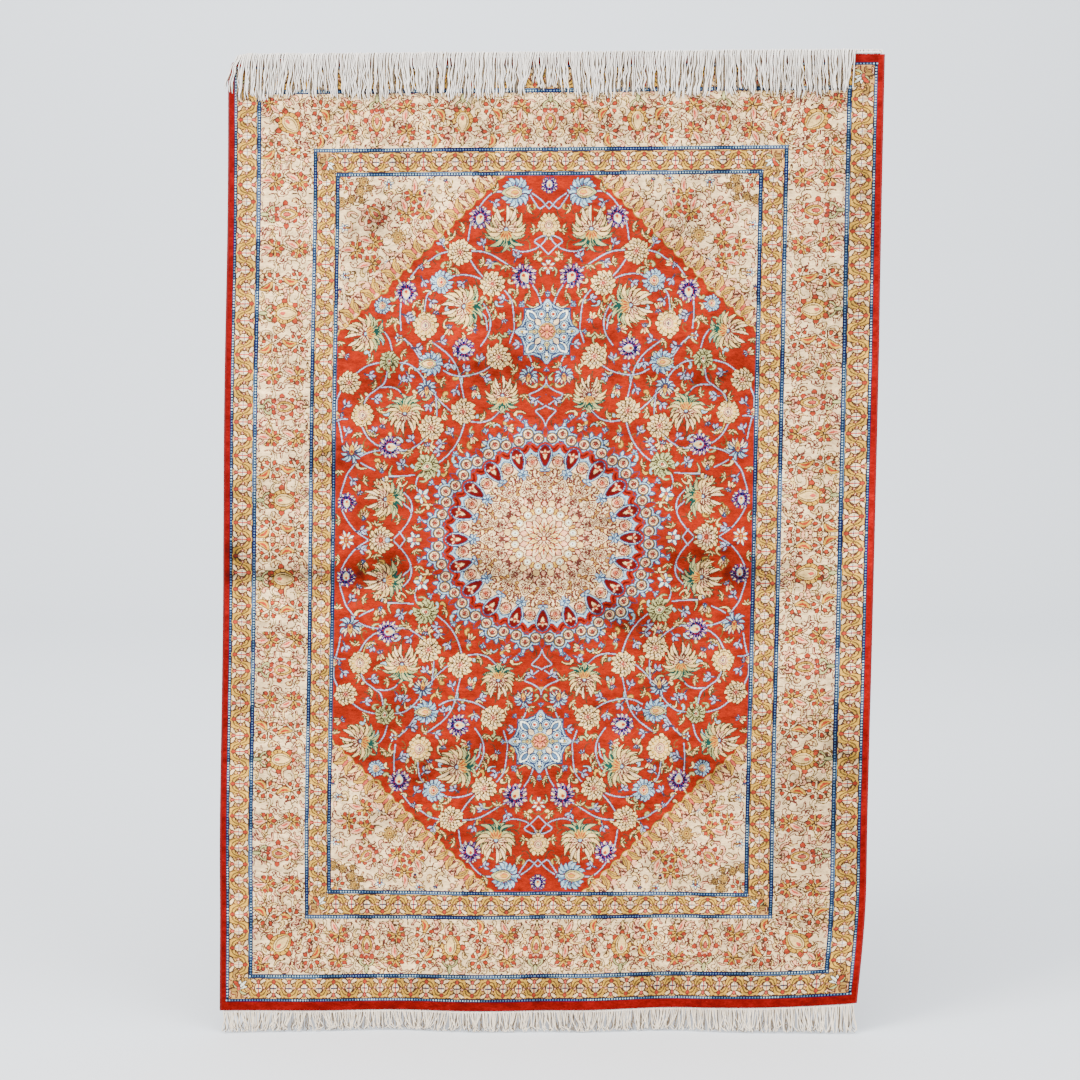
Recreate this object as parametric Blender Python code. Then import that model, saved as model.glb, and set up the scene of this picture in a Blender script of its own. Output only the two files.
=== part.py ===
"""A hand-knotted Persian rug with a short silk pile, hanging by its top edge.

Metres, +Z up. The origin is the middle of the top edge, at mid thickness. The pile side
faces -Y. Each piece is first laid out flat in the X-Z plane, and hang() then gives every
point its place in the hanging cloth: its leaning outline, its creases and its curled corner.
"""

import math
import random
from collections import namedtuple

import bmesh
import bpy
from mathutils import Matrix, Vector

# Cloth
RUG_LENGTH = 1.512
RUG_WIDTH = 1.030          # over the side cords
CLOTH_THICKNESS = 0.004
GAP = 0.0003               # between neighbouring pieces
BODY_COLUMNS = 26
BODY_ROWS = 38

# Side cords
CORD_WIDTH = 0.0042
CORD_DEPTH = 0.0044
CORD_SIDES = 6

# End strips and fringes
STRIP_HEIGHT = 0.0045
STRIP_THICKNESS = 0.0036
STRIP_SHORTER = 0.012      # the strips stop short of the side cords by this much in all
STRAND_COUNT = 150
STRAND_WIDTH = 0.0034
STRAND_DEPTH = 0.0024
STRAND_TIP = 0.5           # width at the tip, as a share
TOP_FRINGE_DROP = 0.062    # how far the top strands fall below the edge
TOP_FRINGE_UNEVEN = 0.006
THROWN_BACK_FROM = 0.468   # strands further right than this fall behind the cloth
FLOOR = -1.5465            # the bottom strands reach down to here
FLOOR_UNEVEN = 0.004
CORNER_SPLAY = 0.010       # how far the strands at the top left corner fan out
SPLAY_FADE = 0.045         # and how fast that fades along the edge
SWAY_UNEVEN = 0.0006

# How the fringes sway sideways: neighbours lean much alike
Sway = namedtuple("Sway", "lean wavelength turn")
SWAYS = [
    Sway(lean=0.0035, wavelength=0.13, turn=0.00),
    Sway(lean=0.0025, wavelength=0.31, turn=0.16),
]

# A top strand's stations: forward of the cloth, above its edge, tangent angle, size.
# It rises from the strip, arches over and falls.
ArchStation = namedtuple("ArchStation", "forward above angle size")
ARCH = [
    ArchStation(forward=0.0000, above=GAP + STRIP_HEIGHT, angle=0.0, size=0.85),
    ArchStation(forward=0.0012, above=0.0072, angle=0.8, size=0.9),
    ArchStation(forward=0.0052, above=0.0080, angle=1.9, size=1.0),
    ArchStation(forward=0.0080, above=0.0010, angle=3.0, size=1.0),
    ArchStation(forward=0.0084, above=-0.0260, angle=math.pi, size=1.0),
    ArchStation(forward=0.0072, above=-TOP_FRINGE_DROP, angle=math.pi, size=STRAND_TIP),
]

# A bottom strand's stations: forward of the cloth, share of its length, size
FallStation = namedtuple("FallStation", "forward share size")
FALL = [
    FallStation(forward=0.0000, share=0.0, size=0.85),
    FallStation(forward=0.0008, share=0.3, size=1.0),
    FallStation(forward=0.0024, share=0.7, size=1.0),
    FallStation(forward=0.0050, share=1.0, size=STRAND_TIP),
]

# Outline: how the middle line leans and the width varies down the cloth
Outline = namedtuple("Outline", "down middle width")
OUTLINE = [
    Outline(down=0.00, middle=0.0000, width=1.022),
    Outline(down=0.16, middle=-0.0030, width=1.023),
    Outline(down=0.36, middle=-0.0080, width=1.029),
    Outline(down=0.57, middle=-0.0125, width=1.030),
    Outline(down=0.79, middle=-0.0195, width=1.033),
    Outline(down=0.90, middle=-0.0215, width=1.032),
    Outline(down=1.00, middle=-0.0285, width=1.022),
]

# Ends: how far the top and bottom edges rise from level, from left (-1) to right (1)
EndRise = namedtuple("EndRise", "side top bottom")
END_RISES = [
    EndRise(side=-1.00, top=-0.0023, bottom=0.0020),
    EndRise(side=-0.60, top=-0.0015, bottom=-0.0015),
    EndRise(side=-0.10, top=0.0000, bottom=0.0000),
    EndRise(side=0.40, top=0.0020, bottom=0.0030),
    EndRise(side=0.78, top=0.0036, bottom=0.0080),
    EndRise(side=1.00, top=0.0046, bottom=0.0150),
]

# Creases left by folding: soft ridges (lift > 0, towards the pile side) and troughs
Crease = namedtuple("Crease", "runs place lift spread middle reach")
CREASES = [
    Crease(runs="across", place=0.512, lift=0.0050, spread=0.022, middle=-0.15, reach=0.85),
    Crease(runs="across", place=0.302, lift=0.0022, spread=0.024, middle=0.20, reach=0.90),
    Crease(runs="across", place=0.702, lift=-0.0028, spread=0.026, middle=0.10, reach=0.90),
    Crease(runs="down", place=-0.49, lift=0.0020, spread=0.075, middle=0.50, reach=0.60),
    Crease(runs="down", place=0.02, lift=-0.0034, spread=0.070, middle=0.52, reach=0.60),
    Crease(runs="down", place=0.52, lift=0.0030, spread=0.070, middle=0.54, reach=0.60),
]

# Slow waves of the hanging cloth: depth, and turns across and down
Wave = namedtuple("Wave", "depth across down turn hem")
WAVES = [
    Wave(depth=0.0040, across=0.45, down=0.80, turn=0.10, hem=0),
    Wave(depth=0.0025, across=0.90, down=-1.30, turn=0.65, hem=0),
    Wave(depth=0.0060, across=1.10, down=0.00, turn=0.30, hem=4),
    Wave(depth=0.0025, across=2.30, down=0.00, turn=0.80, hem=6),
]

# The top left corner curls back, and so draws in a little
CORNER_REACH = 0.040
CORNER_CURL = Vector((0.005, 0.012, -0.005))


def between(rows, key, at):
    """The row's other values at a position, on a smooth curve through the table."""
    stations = [getattr(row, key) for row in rows]
    at = min(max(at, stations[0]), stations[-1])
    after = next(i for i in range(1, len(rows)) if at <= stations[i])
    share = (at - stations[after - 1]) / (stations[after] - stations[after - 1])
    names = [name for name in rows[0]._fields if name != key]
    values = []
    for name in names:
        p = [getattr(rows[min(max(i, 0), len(rows) - 1)], name) for i in range(after - 2, after + 2)]
        bend = (2 * p[0] - 5 * p[1] + 4 * p[2] - p[3]) * share ** 2
        twist = (3 * p[1] - p[0] - 3 * p[2] + p[3]) * share ** 3
        values.append(0.5 * (2 * p[1] + (p[2] - p[0]) * share + bend + twist))
    return values


def relief(side, down):
    """How far the cloth stands out towards the pile side."""
    out = 0.0
    for crease in CREASES:
        along, off = (side, down) if crease.runs == "across" else (down, side)
        fade = math.exp(-((along - crease.middle) / crease.reach) ** 4)
        out += crease.lift * fade * math.exp(-((off - crease.place) / crease.spread) ** 2)
    for wave in WAVES:
        turns = wave.across * side + wave.down * down + wave.turn
        out += wave.depth * down ** wave.hem * math.sin(2 * math.pi * turns)
    return out


def hang(x, y, z):
    """A point of the flat layout, in its place in the hanging cloth."""
    down = min(max(-z / RUG_LENGTH, 0.0), 1.0)
    side = x / (RUG_WIDTH / 2)
    middle, width = between(OUTLINE, "down", down)
    top, bottom = between(END_RISES, "side", side)
    place = Vector((middle + x * width / RUG_WIDTH, y - relief(side, down),
                    z + top + (bottom - top) * down))
    from_corner = RUG_WIDTH / 2 + x - min(z, 0.0)
    curl = max(1 - from_corner / CORNER_REACH, 0.0)
    return place + CORNER_CURL * curl ** 2


def make_object(name, bm, colour, roughness):
    """Hang a flat piece and give it its own material."""
    for vert in bm.verts:
        vert.co = hang(*vert.co)
    bmesh.ops.recalc_face_normals(bm, faces=bm.faces)
    mesh = bpy.data.meshes.new(name)
    bm.to_mesh(mesh)
    bm.free()
    material = bpy.data.materials.new(name)
    material.use_nodes = True
    shader = material.node_tree.nodes["Principled BSDF"]
    shader.inputs["Base Color"].default_value = (*colour, 1.0)
    shader.inputs["Roughness"].default_value = roughness
    mesh.materials.append(material)
    piece = bpy.data.objects.new(name, mesh)
    bpy.context.collection.objects.link(piece)
    return piece


def flat_grid(width, height, columns, rows, thickness):
    """A closed slab in the X-Z plane, its front and back cut into a grid."""
    bm = bmesh.new()
    stand_up = Matrix.Rotation(math.pi / 2, 4, "X")
    bmesh.ops.create_grid(bm, x_segments=columns, y_segments=rows, size=0.5, matrix=stand_up)
    bmesh.ops.scale(bm, vec=(width, 1.0, height), verts=bm.verts)
    bmesh.ops.translate(bm, vec=(0.0, thickness / 2, 0.0), verts=bm.verts)
    front = bmesh.ops.extrude_face_region(bm, geom=bm.faces[:], use_keep_orig=True)
    moved = [item for item in front["geom"] if isinstance(item, bmesh.types.BMVert)]
    bmesh.ops.translate(bm, vec=(0.0, -thickness, 0.0), verts=moved)
    return bm


def make_body():
    width = RUG_WIDTH - 2 * (CORD_WIDTH + GAP)
    bm = flat_grid(width, RUG_LENGTH, BODY_COLUMNS, BODY_ROWS, CLOTH_THICKNESS)
    bmesh.ops.translate(bm, vec=(0.0, 0.0, -RUG_LENGTH / 2), verts=bm.verts)
    return make_object("rug_body", bm, colour=(0.62, 0.42, 0.33), roughness=0.6)


def make_selvedge(name, side):
    """A six-sided cord with a flat side towards the cloth."""
    bm = bmesh.new()
    bmesh.ops.create_circle(bm, cap_ends=True, segments=CORD_SIDES, radius=0.5)
    to_flats = CORD_WIDTH / math.cos(math.pi / CORD_SIDES)
    bmesh.ops.scale(bm, vec=(to_flats, CORD_DEPTH, 1.0), verts=bm.verts)
    grown = bmesh.ops.extrude_face_region(bm, geom=bm.faces[:], use_keep_orig=True)
    end = [item for item in grown["geom"] if isinstance(item, bmesh.types.BMFace)]
    for row in range(BODY_ROWS):
        if row:
            end = bmesh.ops.extrude_discrete_faces(bm, faces=end)["faces"]
        bmesh.ops.translate(bm, vec=(0.0, 0.0, -RUG_LENGTH / BODY_ROWS), verts=end[0].verts)
    across = side * (RUG_WIDTH - CORD_WIDTH) / 2
    bmesh.ops.translate(bm, vec=(across, 0.0, 0.0), verts=bm.verts)
    return make_object(name, bm, colour=(0.60, 0.03, 0.02), roughness=0.7)


def make_strip(edge, way):
    """The end strip, with the faces that the strands grow from on its outer side.

    edge is the height of the cloth's edge and way is 1 at the top and -1 at the bottom.
    The outer side is a zigzag of triangles, one for each strand.
    """
    bm = bmesh.new()
    cells = STRAND_COUNT // 2
    width = RUG_WIDTH - STRIP_SHORTER
    pitch = width / (cells + 0.5)
    bmesh.ops.create_grid(bm, x_segments=cells, y_segments=1, size=0.5)
    bmesh.ops.scale(bm, vec=(pitch * cells, STRIP_THICKNESS, 1.0), verts=bm.verts)
    for vert in bm.verts:
        vert.co.x += pitch / 4 if vert.co.y > 0 else -pitch / 4
    bmesh.ops.triangulate(bm, faces=bm.faces[:], quad_method="SHORT_EDGE")
    grown = bmesh.ops.extrude_face_region(bm, geom=bm.faces[:], use_keep_orig=True)
    outer = [item for item in grown["geom"] if isinstance(item, bmesh.types.BMFace)]
    outer_verts = {vert for face in outer for vert in face.verts}
    for vert in bm.verts:
        lift = GAP + STRIP_HEIGHT if vert in outer_verts else GAP
        vert.co.z = edge + way * lift
    return bm, outer


def corner_spots(place, inward, size):
    """A strand's corners at one station: two at its base and one at its apex."""
    across = Vector((STRAND_WIDTH / 2, 0.0, 0.0))
    base = place - inward * STRAND_DEPTH / 3 * size
    return [base - across * size, base + across * size, place + inward * STRAND_DEPTH * 2 / 3 * size]


def grow_strands(bm, roots, route):
    """Extrude each root triangle along its own route: places, tangent angles and sizes."""
    bmesh.ops.inset_individual(bm, faces=roots, thickness=STRAND_DEPTH / 20)
    for face in roots:
        start = face.calc_center_median()
        flip = 1.0 if sum(vert.co.y > start.y for vert in face.verts) == 1 else -1.0
        corners = sorted(face.verts, key=lambda vert: ((vert.co.y - start.y) * flip > 0, vert.co.x))
        order = [corners.index(vert) for vert in face.verts]
        for number, (place, angle, size) in enumerate(route(start)):
            if number:
                face = bmesh.ops.extrude_discrete_faces(bm, faces=[face])["faces"][0]
            inward = flip * Vector((0.0, math.cos(angle), math.sin(angle)))
            spots = corner_spots(place, inward, size)
            for vert, spot in zip(face.verts, order):
                vert.co = spots[spot]


def sway(x, chance):
    """How far the tip of the strand at x leans sideways."""
    lean = chance.uniform(-SWAY_UNEVEN, SWAY_UNEVEN)
    for row in SWAYS:
        lean += row.lean * math.sin(2 * math.pi * (x / row.wavelength + row.turn))
    return lean


def make_fringe_top():
    """Strands that arch over towards the pile side, but for a few thrown back at the right."""
    chance = random.Random(11)
    bm, roots = make_strip(0.0, 1)

    def route(start):
        from_corner = start.x + RUG_WIDTH / 2
        lean = sway(start.x, chance) - CORNER_SPLAY * math.exp(-from_corner / SPLAY_FADE)
        drop = 1 + chance.uniform(-1, 1) * TOP_FRINGE_UNEVEN / TOP_FRINGE_DROP
        way = 1 if start.x > THROWN_BACK_FROM else -1
        places = []
        for station in ARCH:
            above = station.above * drop if station.above < 0 else station.above
            share = max(-above, 0.0) / TOP_FRINGE_DROP
            x = start.x + lean * share ** 1.5
            y = start.y * (1 - 0.5 * share) + way * station.forward
            places.append((Vector((x, y, above)), -way * station.angle, station.size))
        return places

    grow_strands(bm, roots, route)
    return make_object("fringe_top", bm, colour=(0.80, 0.77, 0.72), roughness=0.8)


def make_fringe_bottom():
    """Strands that hang from the lower strip down to the floor."""
    chance = random.Random(12)
    bm, roots = make_strip(-RUG_LENGTH, -1)

    def route(start):
        lean = sway(start.x, chance)
        edge_rise = hang(start.x, 0.0, start.z).z - start.z
        drop = start.z + edge_rise - FLOOR - chance.uniform(0, 1) * FLOOR_UNEVEN
        places = []
        for station in FALL:
            x = start.x + lean * station.share ** 1.5
            y = start.y - station.forward
            places.append((Vector((x, y, start.z - drop * station.share)), 0.0, station.size))
        return places

    grow_strands(bm, roots, route)
    return make_object("fringe_bottom", bm, colour=(0.78, 0.74, 0.66), roughness=0.8)


for old in list(bpy.data.objects):
    bpy.data.objects.remove(old)
make_body()
make_selvedge("selvedge_left", -1)
make_selvedge("selvedge_right", 1)
make_fringe_top()
make_fringe_bottom()
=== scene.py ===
import math
import random
from collections import namedtuple

import bmesh
import bpy
import numpy as np
from mathutils import Matrix, Vector


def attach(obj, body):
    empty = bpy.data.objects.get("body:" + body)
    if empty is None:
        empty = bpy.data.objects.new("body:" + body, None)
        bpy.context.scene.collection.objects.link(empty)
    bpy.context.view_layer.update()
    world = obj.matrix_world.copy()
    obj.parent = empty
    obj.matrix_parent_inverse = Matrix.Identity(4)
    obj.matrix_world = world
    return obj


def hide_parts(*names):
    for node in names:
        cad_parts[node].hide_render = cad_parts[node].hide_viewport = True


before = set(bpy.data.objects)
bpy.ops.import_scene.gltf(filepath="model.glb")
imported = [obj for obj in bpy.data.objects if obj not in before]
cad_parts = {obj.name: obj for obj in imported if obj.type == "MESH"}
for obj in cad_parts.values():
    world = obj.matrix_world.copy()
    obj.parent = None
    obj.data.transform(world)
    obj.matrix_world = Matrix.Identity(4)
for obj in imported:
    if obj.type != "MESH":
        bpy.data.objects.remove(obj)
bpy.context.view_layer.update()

# The pile's chart. It is worked out knot by knot, in mm, on one quarter: x runs
# from the upright axis to the side, and y from the level axis to the end.
knot = 1.1
quarterColumns = 464
quarterRows = 688
fieldColumns = 305
fieldRows = 517

# Dyed yarns, as sRGB. The brighter red of the right margin and cord is the margin red made lighter: painted
# sheen.
yarns = {
    "red": (139, 28, 5), "deepRed": (92, 6, 5), "marginRed": (112, 5, 3), "paintedSheenRed": (129, 5, 2),
    "navy": (10, 4, 53), "blue": (47, 56, 84), "lightBlue": (81, 110, 137), "paleBlue": (156, 185, 196),
    "gold": (163, 123, 60), "oliveGold": (96, 74, 38), "brown": (71, 47, 31), "darkBrown": (47, 31, 3),
    "white": (239, 238, 213), "lilac": (161, 122, 150), "pink": (239, 136, 95), "coral": (162, 56, 32),
    "ivory": (238, 201, 148), "greenIvory": (176, 171, 110), "pinkIvory": (238, 169, 127),
    "rust": (95, 46, 38), "olive": (63, 54, 34), "ochre": (146, 85, 39), "cream": (236, 193, 120),
    "straw": (203, 152, 56), "teal": (22, 63, 54), "violet": (49, 29, 86), "stem": (173, 175, 193),
    "stemEdge": (53, 49, 67), "paleGold": (198, 147, 76), "stripeBlue": (9, 28, 52), "rose": (189, 80, 62),
}
yarnNumber = {name: number for number, name in enumerate(yarns)}


class Cloth:  # knots with the coordinates that a motif is drawn in
    def __init__(self, ink, x, y):
        self.ink, self.x, self.y = ink, x, y

    def near(self, x, y, turn=0.0, reach=30.0, flip=1):  # the knots round a place, turned to lie along x
        inside = (abs(self.x - x) < reach) & (abs(self.y - y) < reach)
        rows, columns = np.flatnonzero(inside.any(1)), np.flatnonzero(inside.any(0))
        rows = slice(rows[0], rows[-1] + 1) if len(rows) else slice(0, 0)
        columns = slice(columns[0], columns[-1] + 1) if len(columns) else slice(0, 0)
        across = np.broadcast_to(self.x, self.ink.shape)[rows, columns] - x
        along = np.broadcast_to(self.y, self.ink.shape)[rows, columns] - y
        c, s = math.cos(math.radians(turn)), math.sin(math.radians(turn))
        return Cloth(self.ink[rows, columns], c * across + s * along, flip * (c * along - s * across))

    def dye(self, where, yarn):
        self.ink[where] = yarnNumber[yarn]


def spot(cloth, x, y, radius, yarn, edge=None, rim=1.0):
    part = cloth.near(x, y, reach=radius + 2)
    away = np.hypot(part.x, part.y)
    if edge:
        part.dye(away < radius, edge)
        radius -= rim
    part.dye(away < radius, yarn)


# A waist over 1 makes a leaf widest past its middle, and a larger rim shows more of the edge's yarn.
def leaf(cloth, x, y, turn, length, width, yarn, edge=None, bend=0.0, rim=1.1, waist=1.0, start=0.0):
    part = cloth.near(x, y, turn, start + length + abs(bend) * length + width + 2)
    share = (part.x - start) / length
    off = part.y - bend * length * 4 * share * (1 - share)
    inside = (share > 0) & (share < 1)
    half = np.zeros(share.shape)
    half[inside] = np.sin(math.pi * share[inside] ** waist) ** 0.75 * width / 2
    if edge:
        part.dye(inside & (abs(off) < half + 0.5), edge)
        inside &= (part.x > start + rim * 0.8) & (part.x < start + length - rim)
        half = half - rim * 0.75
    part.dye(inside & (abs(off) < half), yarn)


def curve(points, steps=7):  # a smooth curve through the points
    ends = [points[0], *points, points[-1]]
    spots = []
    for i in range(1, len(ends) - 2):
        for step in range(steps):
            t = step / steps
            place = []
            for a, b, c, d in zip(*ends[i - 1:i + 3]):
                bend = (2 * a - 5 * b + 4 * c - d) * t * t + (3 * b - a - 3 * c + d) * t ** 3
                place.append(0.5 * (2 * b + (c - a) * t + bend))
            spots.append(tuple(place))
    return spots + [tuple(points[-1])]


def stroke(cloth, spots, width, yarn, edge=None, taper=0.5, rim=0.9):
    layers = [(edge, rim), (yarn, 0.0)] if edge else [(yarn, 0.0)]
    for name, extra in layers:
        for i, (p, q) in enumerate(zip(spots, spots[1:])):
            half = width / 2 * (1 - (1 - taper) * i / len(spots)) + extra
            length = math.dist(p, q)
            if length < 1e-6:
                continue
            turn = math.degrees(math.atan2(q[1] - p[1], q[0] - p[0]))
            part = cloth.near(p[0], p[1], turn, length + half + 1)
            past = part.x - np.clip(part.x, 0, length)
            part.dye(past ** 2 + part.y ** 2 < half ** 2, name)


def curl(x, y, turn, size, way, coil=250):  # the path of a stalk that curls up
    spots = []
    angle = math.radians(turn)
    for step in range(15):
        spots.append((x, y))
        reach = size * 3.4 / 14 * (1 - 0.72 * step / 14)
        x += reach * math.cos(angle)
        y += reach * math.sin(angle)
        angle += way * math.radians(coil) / 14 * (0.35 + 1.3 * step / 14)
    return spots


def hook(cloth, x, y, turn, size, yarn, way, width, coil=250):
    stroke(cloth, curl(x, y, turn, size, way, coil), width, yarn, taper=0.8)


def curledLeaf(cloth, x, y, turn, size, width, yarn, edge, way=1, coil=200, rim=1.2):
    stroke(cloth, curl(x, y, turn, size, way, coil)[::-1], width, yarn, edge, taper=0.1, rim=rim)


def scrolls(cloth, x, y, across, along, pitch, seed, plain=0.3, fills=("pinkIvory", "cream", "ivory"),
            edges=("brown", "rust", "rust", "rust", "oliveGold"), line=1.8):
    # curled leaves and bare stalks that fill the ground
    chance = random.Random(seed)
    for i in range(round(across / pitch)):
        for j in range(round(along / pitch)):
            px = x + (i + 0.5) * pitch - across / 2 + chance.uniform(-2.5, 2.5)
            py = y + (j + 0.5) * pitch - along / 2 + chance.uniform(-2.5, 2.5)
            turn, way, edge = chance.uniform(0, 360), chance.choice([-1, 1]), chance.choice(edges)
            if chance.random() < plain:
                size, coil = chance.uniform(6, 11), chance.uniform(120, 330)
                hook(cloth, px, py, turn, size, edge, way, line, coil)
            else:
                fill, coil, size = chance.choice(fills), chance.uniform(120, 240), chance.uniform(5, 9)
                curledLeaf(cloth, px, py, turn, size, 4.2, fill, edge, way, coil, rim=line * 0.8)


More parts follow.
